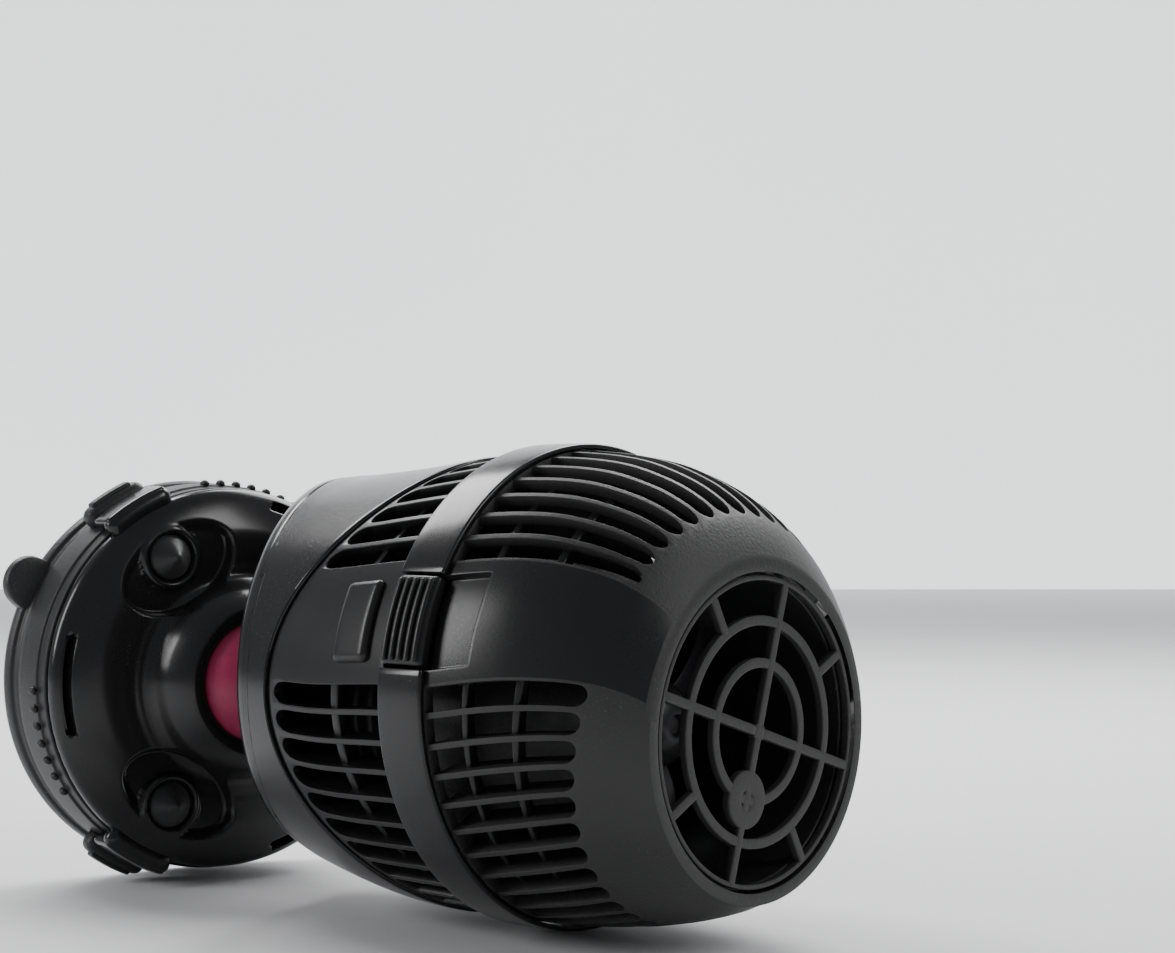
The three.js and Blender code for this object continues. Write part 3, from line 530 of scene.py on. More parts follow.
# %% [markdown]
# ## The rubber base
# A ring of soft rubber seals the holder to the glass and stops it sliding. Its face is slightly
# hollow, and a half-round lobe sticks out so that a finger can peel it off. The lobe is a swelling
# of the turned outline: each ring of points is pushed out where the lobe's circle lies outside it.

# %% Holder sizes and the base
BASE_R, BASE_T, HOUSING_R, HOUSING_FLOOR, HOUSING_FRONT = 42.2, 6.0, 41.5, 6.3, 18.8
DOME_X, DOME_R, SADDLE_X, COLLAR_R, BALL_X, BALL_R = 19.1, 40.4, 26.3, 17.4, 31.0, 13.6
PEG_RING, PEG_R, PEG_H, RECESS_X = 29.9, 4.7, 5.4, 22.6
LOBE_AT, LOBE_R, LOBE_X, LOBE_HALF = 151, 5.6, 1.9, 1.5
THIRDS = (0, 120, 240)


def rubber_base(segments=480):
    edge = [(0, 0.4, 0.3), (1.2, 0, 0.8), (3.2, 0.4, 0.9), (3.6, 1.2, 0.5), (4.4, 1.3, 0.4), (BASE_T, 2, 0.4)]
    outline = rounded([(0, 0.01), (0, 14, 0.6), (1.6, 15.5, 0.6), (1.6, BASE_R - 6.5, 0.6),
                       (0, BASE_R - 5, 0.5), *((x, BASE_R - inward, fillet) for x, inward, fillet in edge),
                       (BASE_T, 30), (BASE_T, 0.01)])
    angle = full_turn(segments)
    off = off_from(angle, LOBE_AT)
    reach = np.sqrt(np.clip(LOBE_R ** 2 - (BASE_R * np.sin(off)) ** 2, 0, None)) * (np.abs(off) < 0.5)
    rings = []
    for x, r in outline:
        share = math.sqrt(max(0.0, 1 - ((x - LOBE_X) / LOBE_HALF) ** 4)) if abs(x - LOBE_X) < LOBE_HALF else 0
        out = (reach - 0.5 * (1 - share)) * (share > 0) if r > BASE_R - 2 else 0 * reach
        rings.append(ring_at(x, r + np.clip(out, 0, None), angle))
    return skin(rings)


base = build("rubber_base", rubber_base(), rubber_black)
keep(base, "holder", "rubber", "suction_base")

# %% [markdown]
# ## The magnet housing
# A deep cup carries the magnet. Three tabs stand on its wall, and small bumps near its front edge
# give wet fingers a grip. The bumps repeat round the wall in three groups, so a tree lays them:
# one line of points per group, turned about the axis.

# %% Housing wall and tabs
def housing_body():
    front, floor = HOUSING_FRONT, HOUSING_FLOOR
    wall = [(floor, 0.2, 0.8), (8.2, 0, 0.4), (front - 3.2, 0.3, 0.3), (front - 2.9, 0.8, 0.2),
            (front, 0.9, 0.5), (front, 2.4, 0.3), (floor + 2.4, 2.4, 0.8)]
    cup = turned(rounded([(floor, 0.01), *((x, HOUSING_R - inward, fillet) for x, inward, fillet in wall),
                          (floor + 2.4, 0.01)]), 240)
    link = placed(soft_block((5.4, 14.5, 5.0), 2.2, (14, 20, 12)), (floor + 4, 0, 0))
    plate = placed(soft_block((2.8, 10, 1.4), 0.6), (floor + 4, 0, 0))
    return merged(cup, *[bent(block, HOUSING_R + out, at) for at in THIRDS
                         for block, out in ((link, 1.2), (plate, 3.6))])


housing = build("housing_wall", housing_body(), housing_matte)
keep(housing, "holder", "housing_matte", "magnet_housing")

# %% Grip bumps
def bump_tree():
    tree, size = tree_with("grip_bumps", {
        "Radius": (NUMBER, 0.0414), "Station": (NUMBER, 0.0146), "Bumps": (WHOLE, 7),
        "Step": (NUMBER, math.radians(5.2)), "First": (NUMBER, math.radians(62)), "Width": (NUMBER, 0.0009)})
    row = size["Bumps"].node("GeometryNodeMeshLine", {"Count": size["Bumps"] * 3})
    index = row.node("GeometryNodeInputIndex")
    group = index.sum("FLOOR", index / size["Bumps"])
    angle = size["First"] + (index - group * size["Bumps"]) * size["Step"] + group * (2 * math.pi / 3)
    spot = row.vector(X=size["Station"], Y=size["Radius"] * angle.cos(), Z=size["Radius"] * angle.sin())
    points = row.node("GeometryNodeSetPosition", {"Geometry": row, "Position": spot})
    bead = row.node("GeometryNodeMeshUVSphere", {"Segments": 16, "Rings": 10, "Radius": size["Width"]})
    beads = points.node("GeometryNodeInstanceOnPoints", {"Points": points, "Instance": bead,
                                                             "Scale": (1.5, 1.0, 1.0)})
    end_tree(tree, beads, size["Finish"])
    return tree


bumps = smooth(grown("grip_bumps", bump_tree(), housing_matte, {"Bumps": 7}), weld=False)
keep(bumps, "holder", "housing_matte")

# %% [markdown]
# ## The dome cover
# The dome is one glossy moulding: a low saddle, a collar that rises like a crater round the ball,
# three oval recesses with a ring boss in each, and three arc slots near the rim. It is drawn as a
# turned skin first. Then every point is pushed down by the depth that its radius and angle ask
# for, which keeps the recess edges soft, as they are on a polished moulding.

# %% Dome surface
def ease(value, low, high):
    t = np.clip((value - low) / (high - low), 0, 1)
    return t * t * (3 - 2 * t)


def dome_line():
    rim = [(0, -0.5), (1.2, 0), (3.1, -0.8), (4.8, -3.6), (6.5, -8.2)]
    collar = [(1.2, 1.7), (3.8, 0.1), (5.4, -1.6), (5.7, -3)]
    knots = [(DOME_X + x, DOME_R + r) for x, r in rim]
    knots += [(SADDLE_X, DOME_R - 13.6), (SADDLE_X + 0.4, COLLAR_R + 6.4), (SADDLE_X + 1.5, COLLAR_R + 3.8)]
    knots += [(BALL_X + x, COLLAR_R + r) for x, r in collar]
    return spline(np.array(knots, float), 16)


def spline(knots, steps):
    """A smooth curve through every knot."""
    ends = np.vstack([2 * knots[0] - knots[1], knots, 2 * knots[-1] - knots[-2]])
    result = []
    for i in range(1, len(ends) - 2):
        a, b, c, d = ends[i - 1:i + 3]
        for t in np.linspace(0, 1, steps, endpoint=False):
            bend = (2 * a - 5 * b + 4 * c - d) * t * t + (3 * b - a - 3 * c + d) * t ** 3
            result.append(0.5 * (2 * b + (c - a) * t + bend))
    return np.vstack([result, knots[-1]])


def dome_depth(r, angle, top):
    """How far down the surface lies below the plain dome at a radius and an angle."""
    depth = np.zeros_like(r * angle)
    for at in THIRDS:
        off = off_from(angle, at)
        u, v = r * np.cos(off) - (PEG_RING - 2.2), r * np.sin(off)
        oval = np.sqrt((u / 9.0) ** 2 + (v / 14.0) ** 2)
        well = 1 - ease(oval, 0.9 - 0.3 * ease(u, -1.0, 8.0), 1.0)
        drop = np.clip(top - RECESS_X, 0, None)
        from_peg = np.hypot(r * np.cos(off) - PEG_RING, v)
        boss = 1.5 * np.sqrt(np.clip(1 - ((from_peg - 5.9) / 1.0) ** 2, 0, 1))
        moat = 0.72 * drop * well * (np.abs(off) < 0.7)
        depth = np.maximum(depth, np.clip(moat - boss * well, 0, None))
        arc = np.abs(off_from(angle, at + 60)) * r
        slot = (1 - ease(np.abs(r - (DOME_R - 2.55)), 0.7, 1.1)) * (1 - ease(arc, 9.4, 10.4))
        depth = np.maximum(depth, 4.2 * slot)
    return depth


SEAT_IN, SEAT_OUT = 13.9, 15.6


def ball_arc(radius, start, end, count):
    """Points round the ball's centre, from one angle in degrees to another."""
    return [(BALL_X + radius * math.cos(p), radius * math.sin(p))
            for p in np.radians(np.linspace(start, end, count))]


def dome_body(segments=448):
    line = dome_line()
    dense = []
    for a, b in zip(line[:-1], line[1:]):
        count = max(1, int(math.ceil(np.linalg.norm(b - a) / 0.42)))
        dense += [a + (b - a) * i / count for i in range(count)]
    dense.append(line[-1])
    inner = [(BALL_X - 1.6, 16.6), (SADDLE_X - 2.6, 18.6), (SADDLE_X - 3.4, 24), (DOME_X + 3, 33),
             (DOME_X + 0.6, DOME_R - 3)]
    angle = full_turn(segments)
    rings = []
    for i, (x, r) in enumerate([*dense, *ball_arc(SEAT_IN, 68, 96, 9)]):
        pushed = i < len(dense) and r < DOME_R - 0.7 and x < BALL_X - 0.4
        depth = dome_depth(np.full(segments, r), angle, x) if pushed else 0 * angle
        rings.append(ring_at(x - depth, r, angle))
    for x, r in inner:
        under = dome_depth(np.full(segments, r), angle, SADDLE_X) > 0.2
        rings.append(ring_at(np.minimum(x, np.where(under, DOME_X + 1.2, x)), r, angle))
    return skin(rings, closed=True)


def tongues():
    plate = soft_block((7.6, 15, 2.0), 0.95, (12, 18, 6))
    lap = soft_block((4.2, 16, 5.0), 2.0, (12, 20, 12))
    return merged(*[bent(placed(plate, (DOME_X - 1.5, 0, 0)), HOUSING_R + 1.2, at) for at in THIRDS],
                  *[bent(placed(lap, (DOME_X + 0.9, 0, 0)), HOUSING_R - 0.5, at) for at in THIRDS])


dome = build("dome_cover_fine", merged(dome_body(), tongues()), black_gloss, sharp=60)
keep(dome, "holder", "black_gloss", "dome_cover")

# %% [markdown]
# ## Rubber pegs
# Each peg is a soft cone that keeps the pump's cage from knocking on the dome. They differ only
# in where they stand, so one turned outline is placed three times.

# %% Pegs
def peg_body():
    base = RECESS_X + GAP
    return turned(rounded([(base, 0.01), (base, PEG_R - 0.2, 0.3), (base + 1.2, PEG_R, 0.4),
                           (base + 1.7, PEG_R - 0.4, 0.3), (base + PEG_H, 0.5, 0.35),
                           (base + PEG_H + 0.1, 0.01)], 6), 72)


for number, at in enumerate(THIRDS, 1):
    spot = ring_at(0, PEG_RING, math.radians(at))
    peg = build(f"peg_{number}", placed(peg_body(), spot), rubber_black)
    keep(peg, "holder", "rubber", f"rubber_peg_{number}")

# %% [markdown]
# ## The ball swivel
# The silicone ball is gripped by the collar and by a slippery liner behind it. The mould that
# casts it closes round its middle, which leaves a hair-fine ridge. A short stem carries the pump.

# %% Ball, liner and stem
HOOD_YAW, STEM_R, BALL_TO_HOOD, STEM_SIDE = 19.4, 6.0, 21.8, 1.1


def swivel_ball_body():
    outline = [(-6, 0.01), (-6, 3.3), (12.2, 3.3)]
    for p in np.radians(np.linspace(27, 180, 110)):
        swell = 0.09 * math.exp(-((math.degrees(p) - 90) / 0.9) ** 2)
        outline.append(((BALL_R + swell) * math.cos(p), (BALL_R + swell) * math.sin(p)))
    return turned(outline[:-1] + [(-BALL_R, 0.01)], 160)


def seat_body():
    return turned(ball_arc(SEAT_IN, 82, 179.9, 40)[::-1] + ball_arc(SEAT_OUT, 82, 179.9, 40), 120)


def stem_body():
    nut = BALL_TO_HOOD + 2.5
    neck = [(12.5, 0), (16.6, 0), (17.2, 0.5), (18.6, 0.5), (19.2, 0), (nut, 0)]
    return turned(rounded([(-5.7, 0.01), (-5.7, 3, 0.4), (12.5, 3),
                           *((x, STEM_R - inward, 0.3) for x, inward in neck),
                           (nut, 3), (nut + 5.1, 3, 0.5), (nut + 5.1, 0.01)]), 96)


stem_frame = {"move": (BALL_X, 0, 0), "yaw": PUMP_YAW + HOOD_YAW}
keep(build("liner", seat_body(), seat_white), "seat", "seat_plastic", "ball_seat")
ball = build("ball", placed(swivel_ball_body(), **stem_frame), ball_magenta)
keep(ball, "ball", "ball_rubber", "swivel_ball")
keep(build("stem", placed(stem_body(), **stem_frame), black_satin), "ball", "black_satin", "ball_stem")

# %% [markdown]
# ## The form of the pump
# Hood, cage and outlet share one smooth form. It is a table of sections along the pump's axis:
# each has a radius and the height of its centre, because the outlet hangs lower than the band and
# the belly rises under the hood. Every shell piece reads its points from this one rule.

# %% The form as a rule
BAND_R, BAND_W, CAGE_R, CAGE_WALL, CAGE_FRONT = 45.5, 10.8, 44.2, 2.2, 45.0
HOOD_REAR, HOOD_JOINT, HOOD_SWEEP, OUTLET_R, OUTLET_DROP = -65.0, -28.0, 11.5, 30.5, 6.1
to_rear = [(1.271, 0.738, 1.3), (1.043, 0.801, 0.88), (0.883, 0.857, 0.41), (0.746, 0.898, 0),
           (0.441, 0.959, -0.29)]
to_front = [(0.444, 0.966, 0.05), (0.667, 0.907, 0.2), (0.8, 0.851, 0.36), (0.889, 0.796, 0.54),
            (0.967, 0.724, 0.8)]
FORM = np.array([(HOOD_REAR * a, CAGE_R * r, 3.4 * h) for a, r, h in to_rear]
                + [(-BAND_W / 2, CAGE_R, 0), (BAND_W / 2, CAGE_R, 0)]
                + [(CAGE_FRONT * a, CAGE_R * r, -OUTLET_DROP * h) for a, r, h in to_front]
                + [(CAGE_FRONT, OUTLET_R, -OUTLET_DROP)])


def section_at(x):
    """Radius and centre height of the form at stations x."""
    x, last = np.asarray(x, float), len(FORM) - 1
    i = np.clip(np.searchsorted(FORM[:, 0], x, side="right") - 1, 0, last - 1)
    a, b = FORM[i], FORM[i + 1]
    before, after = FORM[np.maximum(i - 1, 0)], FORM[np.minimum(i + 2, last)]
    width = b[..., 0] - a[..., 0]
    t = (x - a[..., 0]) / width
    result = []
    for k in (1, 2):
        slope_a = (b[..., k] - before[..., k]) / (b[..., 0] - before[..., 0]) * width
        slope_b = (after[..., k] - a[..., k]) / (after[..., 0] - a[..., 0]) * width
        result.append((2 * t ** 3 - 3 * t ** 2 + 1) * a[..., k] + (t ** 3 - 2 * t ** 2 + t) * slope_a
                      + (3 * t ** 2 - 2 * t ** 3) * b[..., k] + (t ** 3 - t ** 2) * slope_b)
    return result


def form_points(x, around, inset=0.0):
    """`around` in degrees from the top, growing towards the pump's left side."""
    radius, height = section_at(x)
    r, a = radius - inset, np.radians(around)
    return np.stack([x + 0 * a, -r * np.sin(a), height + r * np.cos(a)], -1)


def pump_place():
    c, s = math.cos(math.radians(PUMP_YAW)), math.sin(math.radians(PUMP_YAW))
    x, y, z = BALL_IN_PUMP
    return BALL_X - (x * c - y * s), -(x * s + y * c), -z


def in_pump(body, drop=0.0):
    """A body drawn in the pump's own frame, `drop` under its axis, set where the pump hangs."""
    return placed(placed(body, (0, 0, -drop)), **pump_frame)


hood_turn = math.radians(HOOD_YAW)
BALL_IN_PUMP = np.array([HOOD_REAR - STEM_SIDE * math.tan(hood_turn) - BALL_TO_HOOD * math.cos(hood_turn),
                         STEM_SIDE - BALL_TO_HOOD * math.sin(hood_turn), -2.9])
pump_frame = {"move": pump_place(), "yaw": PUMP_YAW}
PUMP_AT = Vector(pump_frame["move"]) * MM
print("pump origin at", [round(v, 2) for v in pump_frame["move"]])

# %% [markdown]
# ## The hood
# The closed hood behind the cage is polished and slightly tapered. Its rear face is cut across at
# a slant, square to the stem. Rings of points run from the joint to a small rounded rim, across
# the flat face to the stem's hole, and back inside, so the shell has its real thickness.

# %% Hood shell
def joint_x(around):
    return HOOD_JOINT + HOOD_SWEEP * np.cos(2 * np.radians(around))


def rear_x(around, inset, back=0.0):
    x = np.full(len(around), HOOD_REAR)
    for _ in range(20):
        x = HOOD_REAR - back / math.cos(hood_turn) - form_points(x, around, inset)[:, 1] * math.tan(hood_turn)
    return x


def hood_body(count=300):
    around = np.linspace(0, 360, count, endpoint=False)
    front, proud, inner = joint_x(around) - 2 * GAP, -0.6, 1.6
    groove = proud + 0.16
    rear, rear_in = rear_x(around, proud), rear_x(around, inner, -CAGE_WALL)
    stem = np.array([math.cos(hood_turn), math.sin(hood_turn), 0])
    across = np.array([-math.sin(hood_turn), math.cos(hood_turn), 0])
    a = np.radians(around)[:, None]
    rim = -np.sin(a) * across + np.cos(a) * np.array([0, 0, 1])
    hole = BALL_IN_PUMP + stem * BALL_TO_HOOD + (STEM_R + 0.35) * rim
    rings = [form_points(front + (rear_in - front) * s, around, inner) for s in (0.75, 0.5, 0.25, 0.0)]
    for d, inset in ((0, 0.7), (0, -0.1), (0.12, -0.42), (0.4, -0.56)):
        rings.append(form_points(front - d, around, inset))
    corner = form_points(rear, around, proud)
    for share in np.linspace(0.03, 0.93, 26):
        rings.append(form_points(front + (rear + 2.6 - front) * share, around, proud))
    for d, inset in ((5.2, proud), (4.9, proud), (4.7, groove), (4.5, groove), (4.3, proud), (3.4, proud)):
        rings.append(form_points(rear + d, around, inset))
    side, inward = form_points(rear + 2.6, around, proud), hole - corner
    flat = corner + inward * (2.4 / np.linalg.norm(inward, axis=1, keepdims=True))
    rings += [bow(side, corner, flat, t) for t in np.linspace(0, 1, 9)]
    rings += [flat + (hole - flat) * s for s in (0.06, 0.3, 0.6, 0.96, 1.0)]
    rings += [hole + stem * d for d in (0.3, CAGE_WALL)]
    back = form_points(rear_in, around, inner)
    rings += [(hole + stem * CAGE_WALL) * (1 - s) + back * s for s in (0.5, 0.97, 1.0)]
    return skin(rings, closed=True)


hood = build("hood", in_pump(hood_body()), black_gloss, sharp=48)
keep(hood, "pump", "black_gloss", "rear_hood")

# %% Cable gland in the hood's far side
GLAND_X = HOOD_REAR + 6


def gland_body():
    wall = float(section_at(GLAND_X)[0])
    line = rounded([(-8, 3), (-8, 6.5, 0.4), (-5.8, 6.5, 0.4), (-5.8, 4.5), (1.2, 4.5, 0.3), (1.2, 5.6, 0.5),
                    (3, 5.6, 0.5), (4, 4.5, 0.5), (6, 4.2, 0.3), (6.4, 3.8, 0.2), (7.2, 3.8, 0.2),
                    (7.6, 4.0, 0.2), (11, 3.2, 0.5), (11, 2.4)])
    points, faces = turned(line + (wall, 0), 72, closed=True)
    points = np.stack([-points[:, 1], points[:, 0], points[:, 2]], 1)
    return points + np.array([GLAND_X, -GAP, 8.0]), faces


keep(build("gland", in_pump(gland_body()), rubber_black), "pump", "rubber", "cable_gland")

# %% [markdown]
# ## One tree that wraps
# Slats, hoops and ribs all lie on the same form. It is easiest to draw one cell of each flat:
# X along the pump in millimetres, Y round it in radians, Z down into the wall. The tree copies the
# cell at even steps, then wraps every point on the form. Two curves inside the tree hold the
# form's radius and height. A sweep makes the rear edge follow the hood's curved joint. In front of
# the band the slats twist a little, and the lower slots end further back, as the form dips there.

# %% The wrapping tree
LOW, HIGH, SLOT_TO_RIM, PITCH = -84.0, 45.0, 5.6, math.radians(7.2)


def form_curve(wire, column, low, high):
    """A Float Curve that gives the form's radius or height at a share of its length."""
    made = wire.tree.nodes.new("ShaderNodeFloatCurve")
    curve = made.mapping.curves[0]
    stations = np.linspace(LOW, HIGH, 87)
    levels = (section_at(stations)[column] - low) / (high - low)
    curve.points[0].location, curve.points[1].location = (0, levels[0]), (1, levels[-1])
    for x, level in zip((stations[1:-1] - LOW) / (HIGH - LOW), levels[1:-1]):
        curve.points.new(x, level)
    for point in curve.points:
        point.handle_type = "VECTOR"
    made.mapping.update()
    feed(made.inputs["Value"], wire)
    return Wire(wire.tree, made.outputs[0]) * (high - low) + low


def wrap_tree():
    tree, size = tree_with("wrap_on_form", {
        "Count": (WHOLE, 50), "Step around": (NUMBER, PITCH), "Step along": (NUMBER, 0.0),
        "First around": (NUMBER, 0.0), "Sweep": (NUMBER, 0.0), "Anchor": (NUMBER, -5.3),
        "Joint": (NUMBER, HOOD_JOINT), "Twist": (NUMBER, 0.0), "Slot back": (NUMBER, 0.0)})
    sweep, anchor, joint = size["Sweep"], size["Anchor"], size["Joint"]
    step = sweep.vector(X=size["Step along"], Y=size["Step around"])
    start = sweep.vector(Y=size["First around"])
    row = step.node("GeometryNodeMeshLine", {"Count": size["Count"], "Start Location": start, "Offset": step})
    cells = row.node("GeometryNodeInstanceOnPoints", {"Points": row, "Instance": size["Geometry"]})
    real = cells.node("GeometryNodeRealizeInstances", {0: cells})
    here = real.node("GeometryNodeInputPosition")
    along, column, inset = (here.node("ShaderNodeSeparateXYZ", {0: here}, axis) for axis in range(3))
    reach = (joint + sweep * (column * 2).cos() - anchor) / (joint - anchor)
    low_share = ((0.35 - column.cos()) / 1.2).at_least(0.0)
    weight = ((along - 7) / 32.4).at_most((CAGE_FRONT - along) / SLOT_TO_RIM).at_least(0.0)
    back = size["Slot back"] * low_share * weight
    station = along + (along - anchor).at_most(0.0) * (reach - 1.0) - back
    turn = ((station - BAND_W / 2) / (CAGE_FRONT - SLOT_TO_RIM - BAND_W / 2)).at_least(0.0)
    angle = column - size["Twist"] * turn
    share = (station - LOW) / (HIGH - LOW)
    radius = form_curve(share, 0, 20.0, 50.0) - inset
    height = form_curve(share, 1, -10.0, 10.0)
    spot = station.vector(X=station * MM, Y=0 - radius * angle.sin() * MM,
                          Z=(height + radius * angle.cos()) * MM)
    wrapped = real.node("GeometryNodeSetPosition", {"Geometry": real, "Position": spot})
    welded = wrapped.node("GeometryNodeMergeByDistance", {"Geometry": wrapped, "Distance": 4e-6})
    turned_in = welded.node("GeometryNodeTransform", {
        "Geometry": welded, "Rotation": (0, 0, math.radians(PUMP_YAW)), "Translation": PUMP_AT})
    end_tree(tree, turned_in, size["Finish"])
    return tree


WRAP = wrap_tree()
print("wrapping tree:", len(WRAP.nodes), "nodes")

# %% [markdown]
# ## The slotted cage
# Two halves meet under the band. Each half is a shell with slots above and below and a plain
# panel on each side for the latch. The slots are 0.8 of the pitch wide, open at the band and round
# at the far end, so a slat is a thin bar. The cell is one slot with half a slat on each side; its
# open sides weld to the next cell. The panel is a second cell, with the latch's window and, in
# front, a shallow pocket.

# %% Cells of the cage
TOP_SLOTS, BOTTOM_SLOTS, END_R, EDGE = 16, 26, 2.1, 0.4
PANEL = (2 * math.pi - (TOP_SLOTS + BOTTOM_SLOTS) * PITCH) / 2
LATCH_MID, LATCH_HALF, LATCH_W = 72.0, 10.5, 10.0
BESIDE_LATCH = LATCH_W / 2 + GAP
half_slot = EDGE * np.array([0, 0.27, 0.54, 0.78, 0.93, 1])
slot_columns = np.unique(np.concatenate([-half_slot, half_slot, [-0.5, -0.445, 0.445, 0.5]])) * PITCH
panel_columns = np.unique(np.concatenate([np.linspace(-PANEL / 2, PANEL / 2, 45),
                                          np.radians([-11.3, -10.9, 10.9, 11.3])]))


def cage_cell(columns, before, slot, after, shares, is_open, pocket=None):
    """A flat cell of the cage: stations before the slot, along it, and after it, on both skins."""
    edge, table = EDGE * PITCH, []
    for u in columns:
        in_slot = abs(u) < edge and pocket is None
        round_end = END_R * (1 - math.sqrt(max(0.0, 1 - (u / edge) ** 2))) if in_slot else END_R
        a, b = (slot[0], slot[1] - round_end) if slot[0] > 0 else (slot[0] + round_end, slot[1])
        table.append([*before, *(a + (b - a) * s for s in shares), *after])
    table = np.array(table).T
    rows, count = table.shape
    points = np.zeros((2, rows, count, 3))
    points[..., 0], points[..., 1] = table, columns
    points[1, ..., 2] = CAGE_WALL
    if pocket is not None:
        points[..., 2] += pocket(table, np.degrees(columns)[None, :])
    size = rows * count
    first, last = len(before), len(before) + len(shares) - 1
    shut = [[not is_open(table[k:k + 2, j:j + 2].mean(), columns[j:j + 2].mean(), first <= k < last)
             for j in range(count - 1)] for k in range(rows - 1)]
    faces = []
    at = lambda layer, k, j: layer * size + k * count + j
    for k in range(rows - 1):
        for j in range(count - 1):
            if not shut[k][j]:
                continue
            faces.append([at(0, k, j), at(0, k, j + 1), at(0, k + 1, j + 1), at(0, k + 1, j)])
            faces.append([at(1, k, j), at(1, k + 1, j), at(1, k + 1, j + 1), at(1, k, j + 1)])
            for dk, dj, (p, q) in ((-1, 0, ((k, j + 1), (k, j))), (1, 0, ((k + 1, j), (k + 1, j + 1))),
                                   (0, -1, ((k, j), (k + 1, j))), (0, 1, ((k + 1, j + 1), (k, j + 1)))):
                nk, nj = k + dk, j + dj
                wall = (not 0 <= nk < rows - 1) or (0 <= nj < count - 1 and not shut[nk][nj])
                if wall and (dj == 0 or 0 <= nj < count - 1):
                    faces.append([at(0, *p), at(0, *q), at(1, *q), at(1, *p)])
    used = sorted({i for face in faces for i in face})
    remap = {old: new for new, old in enumerate(used)}
    return points.reshape(-1, 3)[used], [[remap[i] for i in face] for face in faces]


def slot_open(x, u, along_slot):
    return along_slot and abs(u) < EDGE * PITCH


def window_open(x, u, along_slot):
    return abs(x) < BESIDE_LATCH and abs(math.degrees(u)) < 11.1


def no_pocket(x, degrees):
    return 0 * x * degrees


def front_pocket(x, degrees):
    beside = (1 - ease(np.abs(degrees), 10.9, 11.3)) * (x > BESIDE_LATCH - 0.01)
    return 1.5 * (1 - ease(x, 14.4, 14.8)) * beside


front_shares = np.unique(np.concatenate([np.linspace(0, 1, 26), [0.2844, 0.2969]]))
front_rows = {"before": [0.15, 2.0, 4.0], "slot": (BESIDE_LATCH, CAGE_FRONT - SLOT_TO_RIM),
              "shares": front_shares, "after": [40.0, 40.9, 41.9, 42.9, 43.8, 44.5, 45.0]}
rear_rows = {"before": [HOOD_JOINT, HOOD_JOINT + 0.6], "slot": (HOOD_JOINT + 1.2, -BESIDE_LATCH),
             "shares": np.linspace(0, 1, 26), "after": [-4.0, -2.0, -0.15]}
print("panel spans", round(math.degrees(PANEL), 1), "degrees")

# %% Wrap the cells into the two halves
def mirrored(cell):
    points = np.array(cell[0])
    points[:, 1] *= -1
    return points, [face[::-1] for face in cell[1]]


def wrapped_run(name, finish, cell, count, middle, wrap):
    """A cell copied `count` times at the pitch, with the run's middle at an angle round the form."""
    first = middle - (count - 1) * PITCH / 2
    sizes = {"Count": count, "Step around": PITCH, "First around": first, **wrap}
    return grown(name, WRAP, finish, sizes, cell)


def cage_half(name, rows, finishes, wrap, pocket=no_pocket):
    slots = cage_cell(slot_columns, is_open=slot_open, **rows)
    panel = cage_cell(panel_columns, is_open=window_open, pocket=pocket, **rows)
    side = TOP_SLOTS * PITCH / 2 + PANEL / 2
    runs = [(slots, TOP_SLOTS, 0), (slots, BOTTOM_SLOTS, math.pi), (panel, 1, side),
            (mirrored(panel), 1, -side)]
    pieces = [wrapped_run(f"{name}_{i}", finishes[0], *run, wrap) for i, run in enumerate(runs)]
    whole = bmesh.new()
    for piece in pieces:
        whole.from_mesh(piece.data)
        bpy.data.objects.remove(piece)
    bmesh.ops.remove_doubles(whole, verts=whole.verts, dist=2e-5)
    bmesh.ops.recalc_face_normals(whole, faces=whole.faces)
    mesh = bpy.data.meshes.new(name)
    whole.to_mesh(mesh)
    loose = sum(1 for e in whole.edges if len(e.link_faces) != 2)
    whole.free()
    for material in finishes:
        mesh.materials.append(material)
    print(name, "open edges:", loose)
    return eased(add(name, mesh), 0.32, 2, 42)


def paint_rim(half):
    """The flat ring round the outlet is left dull by the tool."""
    axis = Vector((math.cos(math.radians(PUMP_YAW)), math.sin(math.radians(PUMP_YAW)), 0))
    for face in half.data.polygons:
        if (face.center - PUMP_AT).dot(axis) > (CAGE_FRONT - 0.45) * MM:
            face.material_index = 1


front_wrap = {"Twist": math.radians(7), "Slot back": 9.0}
rear_wrap = {"Sweep": HOOD_SWEEP}
front = cage_half("cage_front", front_rows, (black_satin, grille_matte), front_wrap, front_pocket)
paint_rim(front)
keep(front, "cover", "black_satin", "front_cage")
rear = cage_half("cage_rear", rear_rows, (black_satin,), rear_wrap)
keep(rear, "pump", "black_satin", "rear_cage")

# %% [markdown]
# ## Hoops behind the slats
# Thin slats would bend under a thumb, so each is deep like a blade, and hoops run round inside
# them. Fin and hoop are drawn over one pitch and copied all the way round by the same tree.

# %% Hoops
def bar_line(half, low, high, foot, top):
    """The closed outline of a bar: half its width, its two heights, and the fillets of both."""
    return rounded([(0, low), (-half, low, foot), (-half, high, top), (half, high, top),
                    (half, low, foot), (0, low)])[:-1]


def hoop_cell(stations, width=1.5, depth=2.0):
    line = bar_line(width / 2, CAGE_WALL - 0.2, CAGE_WALL + depth, 0.4, 0.5)
    columns = np.linspace(-0.5, 0.5, 4) * PITCH
    return merged(*[skin([[(x + px, u, pz) for px, pz in line] for u in columns], caps=False)
                    for x in stations])


for name, body, stations, wrap in (("hoops_front", "cover", (13.0, 25.0), front_wrap),
                                   ("hoops_rear", "pump", (-16.0,), rear_wrap)):
    hoops = grown(name, WRAP, black_satin, {"Count": 50, "Step around": PITCH, **wrap}, hoop_cell(stations))
    keep(smooth(hoops), body, "black_satin")

